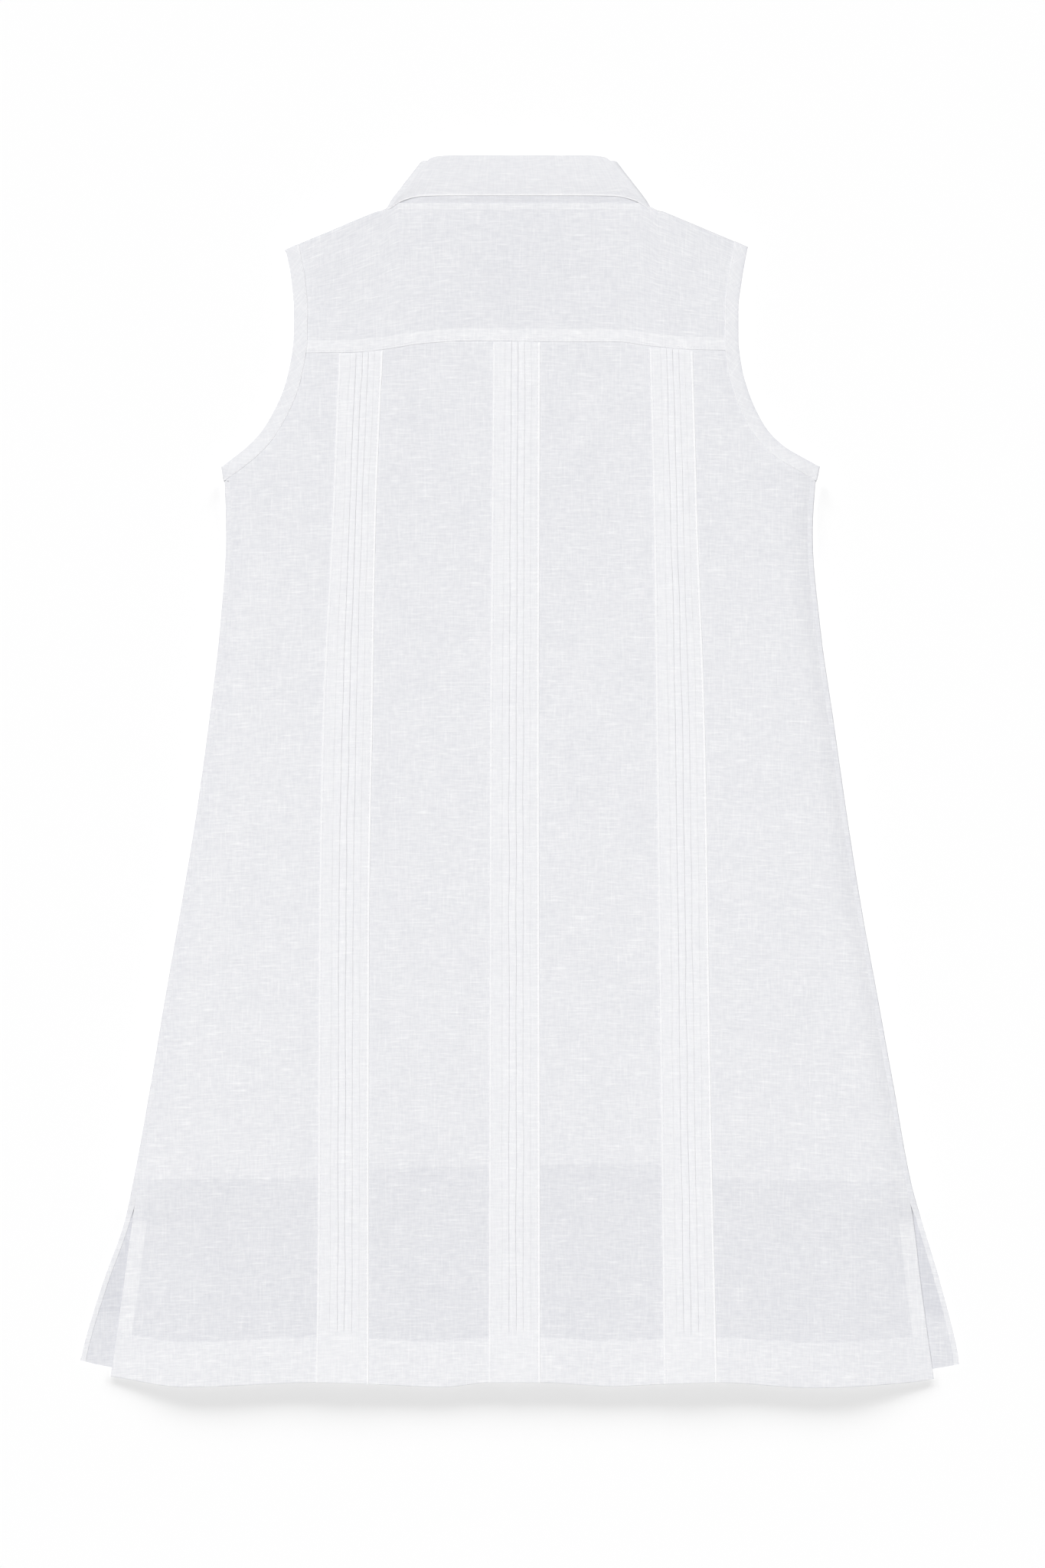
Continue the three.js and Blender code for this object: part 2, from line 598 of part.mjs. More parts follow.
function yoke() {
  const seamColumns = yokeColumns((side) => rowEnd(ROWS[ROWS.length - 1], side));
  const topColumns = yokeColumns((side) => along(SIDES, 'y', 410, side));
  const columns = seamColumns.length;
  const isNeck = (j) => topColumns[j] > -NECK_HALF - 0.01 && topColumns[j + 1] < NECK_HALF + 0.01;
  const topOf = (j) => {
    const x = topColumns[j];
    if (Math.abs(x) < NECK_HALF - 0.01) return NECK_Y;
    const roof = yokeUnder(x, SHOULDER_HEIGHT) + CLOTH;
    return shoulderY(x) - (roof - FRONT_LIFT) / 2 / Math.cos(SHOULDER_SLANT);
  };
  const under = [];
  const over = [];
  const addBack = (place) => {
    const row = Array.from({ length: columns }, (_, j) => place(j));
    under.push(row.map((p) => point(p.x, p.y, yokeUnder(p.x, p.y))));
    over.push(row.map((p) => point(p.x, p.y, yokeUnder(p.x, p.y) + CLOTH)));
  };
  const seamRow = { y: YOKE_MIDDLE, hem: 0, yoke: 1 };
  const lapRow = { y: YOKE_MIDDLE + YOKE_LAP + GAP, hem: 0, yoke: 1 };
  const clearRow = { y: YOKE_MIDDLE + 2 * YOKE_LAP, hem: 0, yoke: 1 };
  for (const row of [seamRow, lapRow, clearRow]) {
    const xs = yokeColumns((side) => rowEnd(row, side));
    addBack((j) => ({ x: xs[j], y: rowY(row, xs[j]) }));
  }
  const clearXs = yokeColumns((side) => rowEnd(clearRow, side));
  for (const share of [0.25, 0.5, 0.75, 1]) {
    addBack((j) => {
      const startY = rowY(clearRow, clearXs[j]);
      const y = THREE.MathUtils.lerp(startY, topOf(j), share);
      const edge = j < CROWN.length || j >= columns - CROWN.length;
      const side = j < columns / 2 ? 'backLeft' : 'backRight';
      const shift = edge ? along(SIDES, 'y', y, side) - along(SIDES, 'y', startY, side) : 0;
      return { x: clearXs[j] + shift, y };
    });
  }
  const backRows = under.length;
  const last = under[backRows - 1];
  for (const degrees of SHOULDER_STEPS.slice(1)) {
    const angle = THREE.MathUtils.degToRad(degrees);
    const rolled = (inner) => last.map((p) => {
      const roof = p.z + CLOTH;
      const middle = (roof + FRONT_LIFT) / 2;
      const radius = (roof - FRONT_LIFT) / 2 - (inner ? CLOTH : 0);
      const y = p.y + (radius / Math.cos(SHOULDER_SLANT)) * Math.sin(angle);
      return point(p.x, y, middle + radius * Math.cos(angle));
    });
    under.push(rolled(true));
    over.push(rolled(false));
  }
  const flap = last.map((p) => {
    const sign = Math.sign(p.x) || 1;
    const reach = Math.abs(p.x);
    const outer = Math.abs(last[p.x < 0 ? 1 : columns - 2].x);
    const share = (reach - NECK_HALF) / (outer - NECK_HALF);
    const armX = flapArmX(p.x < 0 ? 'left' : 'right');
    const x = sign * THREE.MathUtils.lerp(FLAP_END.neckX, armX, share);
    const y = THREE.MathUtils.lerp(FLAP_END.neckY, FLAP_END.armY, share);
    return { x, y };
  });
  under.push(flap.map((p) => point(p.x, p.y, FRONT_LIFT + CLOTH)));
  over.push(flap.map((p) => point(p.x, p.y, FRONT_LIFT)));
  const has = (i, j) => {
    if (i < backRows - 1) return true;
    return !isNeck(j) && j > 0 && j < columns - 2;
  };
  return clothWall(under, over, has);
}

// The collar's section at one station, as distances along the fold's side and out from the
// middle of the neck
function fallSection(width) {
  const turns = [-90, -45, 0, 45, 90].map((degrees) => THREE.MathUtils.degToRad(degrees));
  const centre = (STAND_OUT + COLLAR_MIDDLE) / 2;
  const arc = (radius) => turns.map((angle) => ({
    along: COLLAR_ROLL - radius * Math.cos(angle),
    out: centre + radius * Math.sin(angle),
  }));
  const inner = COLLAR_ROLL - CLOTH;
  return {
    outer: [
      { along: COLLAR_LEG, out: centre - COLLAR_ROLL },
      ...arc(COLLAR_ROLL),
      { along: width / 2, out: centre + COLLAR_ROLL },
      { along: width, out: centre + COLLAR_ROLL },
    ],
    inner: [
      { along: COLLAR_LEG, out: centre - inner },
      ...arc(inner),
      { along: width / 2, out: centre + inner },
      { along: width, out: centre + inner },
    ],
  };
}

function standSection(width) {
  const start = COLLAR_LEG + GAP;
  const middle = (start + width) / 2;
  return {
    outer: [start, middle, width].map((w) => ({ along: w, out: STAND_OUT })),
    inner: [start, middle, width].map((w) => ({ along: w, out: STAND_OUT + CLOTH })),
  };
}

function collarStations() {
  const other = COLLAR.slice(1).map((row) => ({ ...row, sign: 1 }));
  const left = COLLAR.slice(1).reverse().map((row) => ({ ...row, sign: -1 }));
  return [...left, { ...COLLAR[0], sign: 1 }, ...other];
}

function collarPiece(section, toX, toY) {
  const atShoulder = COLLAR.find((row) => row.turn > 0);
  const axisFrom = point(atShoulder.foldX, atShoulder.foldY, 0);
  const axisTo = point(atShoulder.edgeX, atShoulder.edgeY, 0);
  const axis = axisTo.clone().sub(axisFrom).normalize();
  const outward = point(-axis.y, axis.x, 0);
  const rows = { outer: [], inner: [] };
  for (const station of collarStations()) {
    const fold = point(station.foldX, station.foldY, 0);
    const end = point(station[toX], station[toY], 0);
    const down = end.clone().sub(fold);
    const width = down.length();
    down.normalize();
    const turn = THREE.MathUtils.degToRad(station.turn);
    const place = ({ along: w, out }) => {
      const p = fold.clone().addScaledVector(down, w).addScaledVector(outward, out * Math.sin(turn));
      return point(station.sign * p.x, p.y, COLLAR_MIDDLE + out * Math.cos(turn));
    };
    const shape = section(width);
    rows.outer.push(shape.outer.map(place));
    rows.inner.push(shape.inner.map(place));
  }
  return rows;
}

// An armhole's binding: up the back's edge, over the shoulder, down the front's edge, and
// round the side under the arm
function armholeBinding(side) {
  const sign = side === 'left' ? -1 : 1;
  const edges = armholePoints(side).map(({ edge }) => edge);
  const inners = armholeInner(side, BINDING_WIDTH);
  const last = edges.length - 1;
  inners[0].x = outline(side, BINDING_LOW);
  const under = [];
  const over = [];
  const seamY = along(YOKE_LINE, 'x', inners[last].x, 'y');
  const extra = [
    seamY - CLIMB.start, seamY - CLIMB.end, seamY + YOKE_LAP + GAP, seamY + 2 * YOKE_LAP,
  ];
  const lineTops = (line) => {
    const onYoke = Math.max(...line.map((p) => p.y)) > seamY - CLIMB.end - 0.1;
    return line.map((p) => (
      (onYoke ? yokeUnder(p.x, p.y) + CLOTH : backTop(p.x, p.y)) + BINDING_CLEAR
    ));
  };
  const dense = [];
  for (let k = 0; k < last; k += 1) {
    const span = edges[k + 1].y - edges[k].y;
    const shares = extra.map((y) => (y - edges[k].y) / span).filter((s) => s > 0.02 && s < 0.98);
    for (const share of [0, ...(k < BENT_ROWS ? [0.5] : []), ...shares]) {
      dense.push({
        edge: edges[k].clone().lerp(edges[k + 1], share),
        inner: inners[k].clone().lerp(inners[k + 1], share),
      });
    }
  }
  const tip = { edge: edges[last].clone(), inner: inners[last].clone() };
  tip.edge.y = shoulderY(tip.edge.x) - BINDING_TIP;
  tip.inner.y = shoulderY(tip.inner.x) - BINDING_TIP;
  dense.push(tip);
  const lines = dense.map(({ edge, inner }) => [edge, edge.clone().lerp(inner, 0.5), inner]);
  for (const line of lines) {
    const tops = lineTops(line);
    under.push(line.map((p, k) => point(p.x, p.y, tops[k])));
    over.push(line.map((p, k) => point(p.x, p.y, tops[k] + CLOTH)));
  }
  const roll = (line, outward, floor, towards) => {
    const tops = lineTops(line);
    for (const degrees of [36, 72, 108, 144]) {
      const angle = THREE.MathUtils.degToRad(towards > 0 ? degrees : 180 - degrees);
      const rim = (inset) => line.map((p, k) => {
        const roof = tops[k] + CLOTH;
        const radius = (roof - floor) / 2 - inset;
        const shift = outward.clone().multiplyScalar(radius * Math.sin(angle));
        return point(p.x + shift.x, p.y + shift.y, (roof + floor) / 2 + radius * Math.cos(angle));
      });
      under.push(rim(CLOTH));
      over.push(rim(0));
    }
  };
  const shoulderOut = point(sign * Math.sin(SHOULDER_SLANT), Math.cos(SHOULDER_SLANT), 0);
  roll(lines[lines.length - 1], shoulderOut, FRONT_LIFT, 1);
  for (const line of [...lines].reverse()) {
    under.push(line.map((p) => point(p.x, p.y, frontLevel(p.y) + CLOTH)));
    over.push(line.map((p) => point(p.x, p.y, frontLevel(p.y))));
  }
  roll(lines[0], point(sign, 0, 0), 0, -1);
  return clothWall(under, over, () => true, true);
}

// Finishes
const linen = new THREE.MeshStandardMaterial({ color: 0xf1f1f5, roughness: 0.92, metalness: 0 });
const doubled = new THREE.MeshStandardMaterial({ color: 0xf6f6f9, roughness: 0.9, metalness: 0 });
const lining = new THREE.MeshStandardMaterial({ color: 0xf4f4f4, roughness: 0.88, metalness: 0 });
const shell = new THREE.MeshStandardMaterial({ color: 0xf3efe6, roughness: 0.35, metalness: 0 });

const dress = new THREE.Group();

function add(name, geometry, material) {
  const mesh = new THREE.Mesh(geometry, material);
  mesh.name = name;
  dress.add(mesh);
  return mesh;
}

add('back_panel', backPanel(), linen);
add('lining_back', liningPanel(), lining);
for (const [name, band] of Object.entries(BANDS)) add(`tuck_band_${name}`, tuckBand(band), doubled);
add('front_left', frontPanel('left'), linen);
add('front_right', frontPanel('right'), linen);
add('yoke', yoke(), linen);

const fall = collarPiece(fallSection, 'edgeX', 'edgeY');
add('collar_fall', clothWall(fall.inner, fall.outer), doubled);
const stand = collarPiece(standSection, 'seamX', 'seamY');
add('collar_stand', clothWall(stand.outer, stand.inner), doubled);
for (const side of ['left', 'right']) add(`armhole_binding_${side}`, armholeBinding(side), doubled);

const seats = Array.from({ length: BUTTON_COUNT }, (_, k) => BUTTON_TOP - k * BUTTON_PITCH);
add('placket_outer', placketBand(seats), doubled);
const underBand = add('placket_under', placketBand([]), doubled);
underBand.position.z = LAYER;
seats.forEach((y, k) => {
  const mesh = add(`button_${k + 1}`, button(), shell);
  mesh.position.y = y;
});

export default dress;
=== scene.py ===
"""A sleeveless linen guayabera dress, laid flat on its front and seen from its back.

Lengths in the tables are in millimetres, in the frame of the CAD part.
"""
import math

import bpy
import numpy as np
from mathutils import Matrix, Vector


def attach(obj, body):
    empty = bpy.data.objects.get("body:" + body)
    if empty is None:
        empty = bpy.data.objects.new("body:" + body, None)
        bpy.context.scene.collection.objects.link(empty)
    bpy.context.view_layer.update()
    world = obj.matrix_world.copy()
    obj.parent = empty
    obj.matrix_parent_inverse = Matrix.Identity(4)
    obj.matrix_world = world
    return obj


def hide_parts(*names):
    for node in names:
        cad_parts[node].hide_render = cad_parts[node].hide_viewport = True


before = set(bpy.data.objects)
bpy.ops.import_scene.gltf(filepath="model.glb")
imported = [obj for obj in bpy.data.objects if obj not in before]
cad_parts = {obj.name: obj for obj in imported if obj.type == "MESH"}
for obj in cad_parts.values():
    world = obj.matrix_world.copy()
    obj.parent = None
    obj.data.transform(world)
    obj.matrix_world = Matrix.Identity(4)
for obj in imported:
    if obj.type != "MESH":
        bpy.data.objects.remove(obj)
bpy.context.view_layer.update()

MM = 0.001
# Thicknesses and gaps
CLOTH = 1.2
GAP = 0.3
LINEN = 0.45
DOUBLED = 0.42
LINING_THICK = 0.4
CLEAR = 0.03
# Heights of the outer faces above the paper, and what raises or lowers them
SIDE_TOP = 4.0
VENT_DROP = 2.6
HEM_TOP = 5.1
HEM_RAISE = 0.15
LINING_RISE = 1.5
LINING_BELOW = 1.2
YOKE_TOP = 5.7
YOKE_SIDE_TOP = 4.5
FRONT_LIFT = 1.5
# Widths and distances in from an edge
SEAM_IN = 4.3
SIDE_REACH = 0.9
FACING = 11.8
YOKE_LAP = 10
BINDING_WIDTH = 11
STITCH_IN = 2.0
FRONT_HALF = 345
# Places along the dress at which something begins or ends
UNDER_ARM = 228
FRONT_RISES = 350
VENT_TOP = -328
FACING_TOP = -349
VENT_SEWN = -352
FRONT_CORNER = -462
# The angle over which an edge of cloth looks sharp
CREASE = math.radians(55)

# The outline of the dress: y, left, right
SIDES = np.array([
    (-490, -351, 349), (-462, -345, 345), (-444, -340.6, 341.2), (-400, -327, 329.8),
    (-352, -310, 315.4), (-324, -303.8, 307.4), (-247, -289.8, 293.4), (-175, -277.8, 280.4),
    (-103, -265.2, 267.4), (-31, -253.4, 256.2), (41, -243.6, 246), (113, -235.2, 235.8),
    (185, -230.4, 229.8), (228, -231.6, 232.2), (239.4, -233.4, 234.6), (246, -224.8, 222.6),
    (254, -214.8, 208.8), (266, -203.2, 195.8), (281, -193.8, 186.4), (299, -185.4, 178.8),
    (317, -180.6, 174), (340, -177.4, 171.4), (362, -177.2, 171.4), (385, -179, 174),
    (410, -183.6, 178.4),
])
# The back's own edges beside the vents: above them it ends at the seam inside the outline
VENT_SIDES = ((-490, -323.4, 326.8), (-462, -319.3, 322.9), (-444, -316.7, 320.4),
              (-400, -310.6, 314.5), (-352, -304, 308.8))
CORNER = 239.4
# How the back rises from its sides: distance in from them, share of the rise
CROWN = ((4.3, 0), (11.3, 0.55), (18, 0.85), (27, 1))
# The hem, the yoke's seam and the lining's lower edge across the dress: x, y
HEM = ((-321, -474.5), (-263, -482.4), (-160, -478.8), (-117, -480), (-60, -482.4), (-24, -478.8),
       (18, -478.8), (73, -481.8), (113, -480), (155, -478.8), (229, -483), (307, -479), (325, -476.4))
HEM_MIDDLE = -480
HEM_SEWN = -444.5
# Rows of points beside the hem's stitches
SEWN_ROWS = HEM_SEWN + np.array([-2.1, -1.2, -0.6, 0, 0.6, 1.2])
YOKE = ((-170, 328), (-134, 328.2), (-107, 330.6), (-75, 335.4), (-38, 337.4), (13, 336.9),
        (77, 336.6), (100, 333.6), (135, 330.6), (165, 330))
YOKE_MIDDLE = 336.6
LINING = ((-300, -319.5), (-165, -318.4), (-110, -311), (-30, -309), (100, -307), (150, -319),
          (300, -321))
LINING_MIDDLE = -314
# The height from which the lining lifts the back, and the height over which it does
LINING_FADES = (-440, 190)
# Both edges of the three bands of tucks: y, left, right
BANDS = {
    "left": ((-480, -160, -118.2), (-385, -158.6, -118.2), (-115, -157.2, -117.6),
             (35, -154.8, -115.2), (185, -147.6, -112.8), (337, -141.6, -107)),
    "centre": ((-480, -24.6, 16.2), (-265, -24, 15.8), (35, -23.4, 15.2), (185, -22.2, 15.6),
               (337, -21, 16.2)),
    "right": ((-480, 112.8, 154.8), (-265, 110.4, 150), (35, 106.8, 145.2), (185, 104.9, 139.8),
              (337, 101.4, 135.6)),
}
TUCK_PLACES = (0.25, 0.39, 0.53, 0.67, 0.81)
# A pressed tuck in section, from its stitching to past its folded edge
TUCK = ((-3.5, 0), (-2.9, 0.05), (-2.4, 0.1), (-1.8, 0.14), (-1.1, 0.19), (-0.4, 0.24),
        (-0.05, 0.22), (0.12, 0.08), (0.3, 0), (0.7, 0))
# How clearly each tuck stands up after the pressing
TUCK_SHARES = (0.9, 2.1, 2.2, 1.6, 0.8)
SHOULDER = ((94.6, 444.5), (103, 441), (112, 439.6), (183.6, 409.4))
SHOULDER_SLANT = math.radians(24)
NECK_HALF = 94.6
NECK_Y = 445.7
# The yoke's seam on the front: x and y at the neck, y at the armhole
FLAP_END = (75.3, 424.6, 388)
FRONT_HEM = -474
PLACKET_HALF = 15
PLACKET_TOP = 375
BUTTON_YS = [362 - 100 * k for k in range(8)]
BUTTON_RADIUS = 5.75
# The collar from the centre back: fold x, y, free edge x, y, neck seam x, y, turn in degrees
COLLAR = np.array([
    (0, 483, 0, 451.2, 0, 446, 0), (40, 483, 46, 451.2, 42, 446, 0),
    (60, 482.6, 74, 450.8, 66, 446, 0), (68, 481.2, 90, 447.6, 84, 446.4, 0),
    *((71.6, 478.8, 101.2, 440.8, 96.3, 447.1, turn) for turn in (0, 60, 120, 180)),
    (54, 449, 84, 408, 75, 425, 180), (29, 424, 66, 384, 45, 398, 180),
    (4, 408, 50, 366, 8, 376, 180),
])
COLLAR_MIDDLE = 3.6
COLLAR_ROLL = 1.15
COLLAR_LEG = 3
# How far each side's bend reaches out for each millimetre of height
COLLAR_BEND = 1.45
COLLAR_SHIFT = -0.8
COLLAR_CORNER = 107
STAND_OUT = 1.2
STAND_THICK = 0.5
FALL_OUT = 3.0
FALL_THICK = 0.5

# Distances in from a folded and stitched edge at which the cloth's form changes
EDGE = np.array([0, 0.06, 0.22, 0.6, 1.1, 1.6, 2.0, 2.4, 2.9, 4.0])


def linear(level):
    """A 0 to 255 sRGB level as linear light."""
    level = level / 255
    return level / 12.92 if level <= 0.04045 else ((level + 0.055) / 1.055) ** 2.4


def colour(r, g, b, share=1.0):
    return (linear(r) * share, linear(g) * share, linear(b) * share, 1)


def soft(t):
    """A smooth step from 0 to 1."""
    t = np.clip(t, 0, 1)
    return t * t * (3 - 2 * t)


def curve(xs, ys):
    """A smooth line through points, which never passes beyond two neighbouring ones."""
    xs, ys = np.asarray(xs, float), np.asarray(ys, float)
    step = np.diff(xs)
    slope = np.diff(ys) / step
    tangent = np.zeros_like(ys)
    tangent[0], tangent[-1] = slope[0], slope[-1]
    for k in range(1, len(xs) - 1):
        before, after = slope[k - 1], slope[k]
        if before * after > 0:
            first, second = 2 * step[k] + step[k - 1], step[k] + 2 * step[k - 1]
            tangent[k] = (first + second) / (first / before + second / after)

    def read(at):
        at = np.clip(at, xs[0], xs[-1])
        k = np.clip(np.searchsorted(xs, at, side="right") - 1, 0, len(xs) - 2)
        t = (at - xs[k]) / step[k]
        return ((1 + 2 * t) * (1 - t) ** 2 * ys[k] + t * (1 - t) ** 2 * step[k] * tangent[k]
                + t * t * (3 - 2 * t) * ys[k + 1] + t * t * (t - 1) * step[k] * tangent[k + 1])

    return read


def side_line(table, column):
    """One side of the dress, with its corner under the arm kept sharp."""
    low, high = table[table[:, 0] <= CORNER], table[table[:, 0] >= CORNER]
    below, above = curve(low[:, 0], low[:, column]), curve(high[:, 0], high[:, column])
    return lambda y: np.where(np.asarray(y) <= CORNER, below(y), above(y))


SEAMS = [(y, left + SEAM_IN, right - SEAM_IN) for y, left, right in SIDES if y > VENT_SIDES[-1][0]]
BACK_SIDES = np.array([*VENT_SIDES, *SEAMS])
OUTLINE = {"left": side_line(SIDES, 1), "right": side_line(SIDES, 2)}
BACK = {"left": side_line(BACK_SIDES, 1), "right": side_line(BACK_SIDES, 2)}
crown = curve(*zip(*CROWN))
hem_line = curve(*zip(*HEM))
yoke_line = curve(*zip(*YOKE))
lining_line = curve(*zip(*LINING))


def shoulder_line(x):
    return np.interp(x, *zip(*SHOULDER))


def ripple(x, y, across, down, height, seed):
    """A smooth uneven field with about these wavelengths and this mean height."""
    random = np.random.default_rng(seed)
    total = 0
    for _ in range(12):
        turn = random.uniform(0, 2 * math.pi)
        size = random.uniform(0.5, 1.2)
        phase = random.uniform(0, 2 * math.pi)
        total = total + np.sin(2 * math.pi * size * (
            np.cos(turn) * x / across + np.sin(turn) * y / down) + phase)
    return height * total / math.sqrt(6)


def row_y(x, y0):
    """Where a row across the back runs: with the hem, the lining's hem or the yoke's seam."""
    hem = np.interp(y0, (HEM_SEWN + 1, -400, -352), (1, 0.5, 0))
    lining = np.interp(y0, (-349, LINING_MIDDLE, -270), (0, 1, 0))
    yoke = np.interp(y0, (299, 318.6), (0, 1))
    return (y0 + hem * (hem_line(x) - HEM_MIDDLE) + lining * (lining_line(x) - LINING_MIDDLE)
            + yoke * (yoke_line(x) - YOKE_MIDDLE))


def inside(x, y):
    """How far in from the back's nearer edge a point lies."""
    return np.minimum(x - BACK["left"](y), BACK["right"](y) - x)


def wrinkles(x, y):
    """The soft unevenness of pressed linen that lies on more linen."""
    depth = ripple(x, y, 75, 190, 0.13, 3) + ripple(x, y, 28, 34, 0.035, 4)
    return depth * soft(inside(x, y) / 30)


def back_top(x, y):
    """Height of the back's outer face."""
    over_lining = soft((y - LINING_FADES[0]) / LINING_FADES[1]) * (1 - 0.5 * soft((y - 220) / 100))
    level = HEM_TOP + LINING_RISE * over_lining
    side = SIDE_TOP - VENT_DROP * soft((VENT_TOP - y) / 24)
    from_side = inside(x, y) + SEAM_IN
    at_vent = soft((VENT_TOP + 6 - y) / 70)
    rise = crown(from_side) * (1 - at_vent) + soft(from_side / 80) * at_vent
    return side + (level - side) * rise + wrinkles(x, y)


def yoke_top(x, y):
    """Height of the yoke's outer face, which lies on the back along its seam."""
    plain = YOKE_SIDE_TOP + (YOKE_TOP - YOKE_SIDE_TOP) * crown(inside(x, y) + SEAM_IN) + wrinkles(x, y)
    plain = plain - 0.5 * soft((y - 428) / 12) * soft((125 - np.abs(x)) / 20)
    over = back_top(x, y) + CLEAR + DOUBLED
    return over + (plain - over) * soft((y - yoke_line(x) - 8) / 45)


def front_level(y):
    """How high the front's outer face lies: the collar's leaves are folded under it at the neck."""
    return FRONT_LIFT * soft((y - FRONT_RISES) / 12)


def rounded(distance, radius=0.6):
    """How far a folded edge drops away at this distance in from it."""
    near = np.clip(1 - distance / radius, 0, 1)
    return radius * (1 - np.sqrt(1 - near * near))


def groove(distance, depth=0.2, width=0.5):
    """The dip that a line of stitches pulls into the cloth."""
    return depth * np.exp(-((distance / width) ** 2))


def puckers(along, distance, seed, height=0.07, reach=5):
    """The small unevenness that stitches leave on both sides of their line."""
    return ripple(along, 0, 9, 9, height, seed) * np.exp(-np.abs(distance) / reach)


def spaced(start, stop, step):
    """Even steps of about this size from start, stop left out."""
    count = max(1, round(abs(stop - start) / step))
    return list(np.linspace(start, stop, count, endpoint=False))


def length_along(line):
    """How far along a line of points each of them lies."""
    return np.concatenate([[0], np.cumsum(np.linalg.norm(np.diff(line, axis=0), axis=1))])


def density(level):
    """How far a tone stands between the cloth's thinnest and densest ones."""
    low, high = linear(THIN[1]), linear(DENSE[1])
    return (np.vectorize(linear)(level) - low) / (high - low)


# The colours of the thinnest and the densest cloth, and each part's level between them. The front's
# inside and the collar's stand get lower levels than their cloth, as painted shade where they lie in the
# vents and under the fall.
THIN = (216, 217, 223)
DENSE = (253, 253, 254)
TONES = {
    "single": 231.2, "lined": 235.8, "hem": 238.8, "band": 240.6, "yoke": 234.2, "turned": 241.0,
    "collar": 236.2, "binding": 237.4, "facing": 238.8, "inside": 222.2, "narrow_hem": 238.5,
    "side": 232.6, "stand": 228.8,
}
TONES = {name: float(density(level)) for name, level in TONES.items()}


# Meshes

def new_mesh(name, points, faces):
    mesh = bpy.data.meshes.new(name)
    mesh.from_pydata(points, [], faces)
    return mesh


def placed(name, data):
    """An object of this mesh, light or camera, in the scene."""
    obj = bpy.data.objects.new(name, data)
    bpy.context.scene.collection.objects.link(obj)
    return obj


def shell(name, over, under, weave, tone, has=None, looped=False, under_tone=None):
    """A closed piece of cloth between two grids of points, whose last row may meet its first."""
    rows, columns = over.shape[:2]
    lower = rows * columns
    number = np.arange(lower).reshape(rows, columns)
    if looped:
        number = np.vstack([number, number[:1]])
    a, b, c, d = number[:-1, :-1], number[:-1, 1:], number[1:, 1:], number[1:, :-1]
    keep = np.ones(a.shape, bool) if has is None else has
    above, below, left, right = (np.zeros_like(keep) for _ in range(4))
    above[1:], below[:-1] = keep[:-1], keep[1:]
    left[:, 1:], right[:, :-1] = keep[:, :-1], keep[:, 1:]
    if looped:
        above[0], below[-1] = keep[-1], keep[0]
    faces = [np.stack([a, b, c, d], -1)[keep], np.stack([a, d, c, b], -1)[keep] + lower]
    for p, q, neighbour in ((b, a, above), (d, c, below), (a, d, left), (c, b, right)):
        faces.append(np.stack([p, q, q + lower, p + lower], -1)[keep & ~neighbour])
    faces = np.concatenate(faces)
    points = np.concatenate([over.reshape(-1, 3), under.reshape(-1, 3)]) * MM
    corner = points[faces]
    volume = sum(np.einsum("ij,ij->", corner[:, 0], np.cross(corner[:, k], corner[:, k + 1]))
                 for k in (1, 2))
    if volume < 0:
        faces = faces[:, ::-1]
    used, faces = np.unique(faces, return_inverse=True)
    faces = faces.reshape(-1, 4)
    uv = np.tile(np.broadcast_to(weave, (rows, columns, 2)).reshape(-1, 2), (2, 1))[used] * MM
    tones = [np.broadcast_to(each, (rows, columns)).reshape(-1)
             for each in (tone, tone if under_tone is None else under_tone)]
    return cloth_object(name, points[used], faces, uv, np.concatenate(tones)[used])


def cloth_object(name, points, faces, uv, tones):
    mesh = new_mesh(name, points.tolist(), faces.tolist())
    layer = mesh.uv_layers.new(name="weave")
    layer.data.foreach_set("uv", uv[faces.reshape(-1)].astype(np.float32).reshape(-1))
    mark = mesh.attributes.new("tone", "FLOAT", "POINT")
    mark.data.foreach_set("value", np.asarray(tones, np.float32))
    mesh.shade_smooth()
    mesh.set_sharp_from_angle(angle=CREASE)
    return placed(name, mesh)


def grid(x, y, z):
    return np.stack(np.broadcast_arrays(x, y, z), -1).astype(float)


def weave_of(x, y, shift=0):
    """The weft droops a little towards both sides of the dress."""
    return np.stack([x + shift, y + 8.7e-5 * x * x + 0.37 * shift], -1)


def stitches(name, lines, thread=0.13, length=2.3, gap=0.8):
    """Stitches of thread along lines of points: each dives into the cloth at both its ends."""
    rings = np.array([(0, 0.35, -0.12), (0.18, 1, 0.1), (0.82, 1, 0.1), (1, 0.35, -0.12)])
    around = np.array([(1, 0), (0, 1), (-1, 0), (0, -1)])
    points, faces = [], []
    side_faces = [(4 * r + k, 4 * r + (k + 1) % 4, 4 * r + 4 + (k + 1) % 4, 4 * r + 4 + k)
                  for r in range(3) for k in range(4)]
    pattern = np.array([*side_faces, (3, 2, 1, 0), (12, 13, 14, 15)])
    made = 0
    for line in lines:
        line = np.asarray(line, float)
        run = length_along(line)
        starts = np.arange(gap, run[-1] - length - gap, length + gap)
        start, ahead = (np.stack([np.interp(at, run, line[:, k]) for k in range(3)], -1)
                        for at in (starts, starts + length))
        forward = ahead - start
        sideways = np.stack([-forward[:, 1], forward[:, 0], np.zeros(len(starts))], -1)
        sideways /= np.linalg.norm(sideways, axis=1, keepdims=True)
        for k in range(len(starts)):
            for share, size, lift in rings:
                middle = start[k] + share * forward[k] + (0, 0, lift)
                for across, up in around:
                    points.append(middle + thread * size * (across * sideways[k] + (0, 0, up)))
            faces.append(pattern + made)
            made += 16
    points, faces = np.array(points) * MM, np.concatenate(faces)
    mesh = new_mesh(name, points.tolist(), faces.tolist())
    mesh.shade_smooth()
    return placed(name, mesh)


# The pieces of cloth

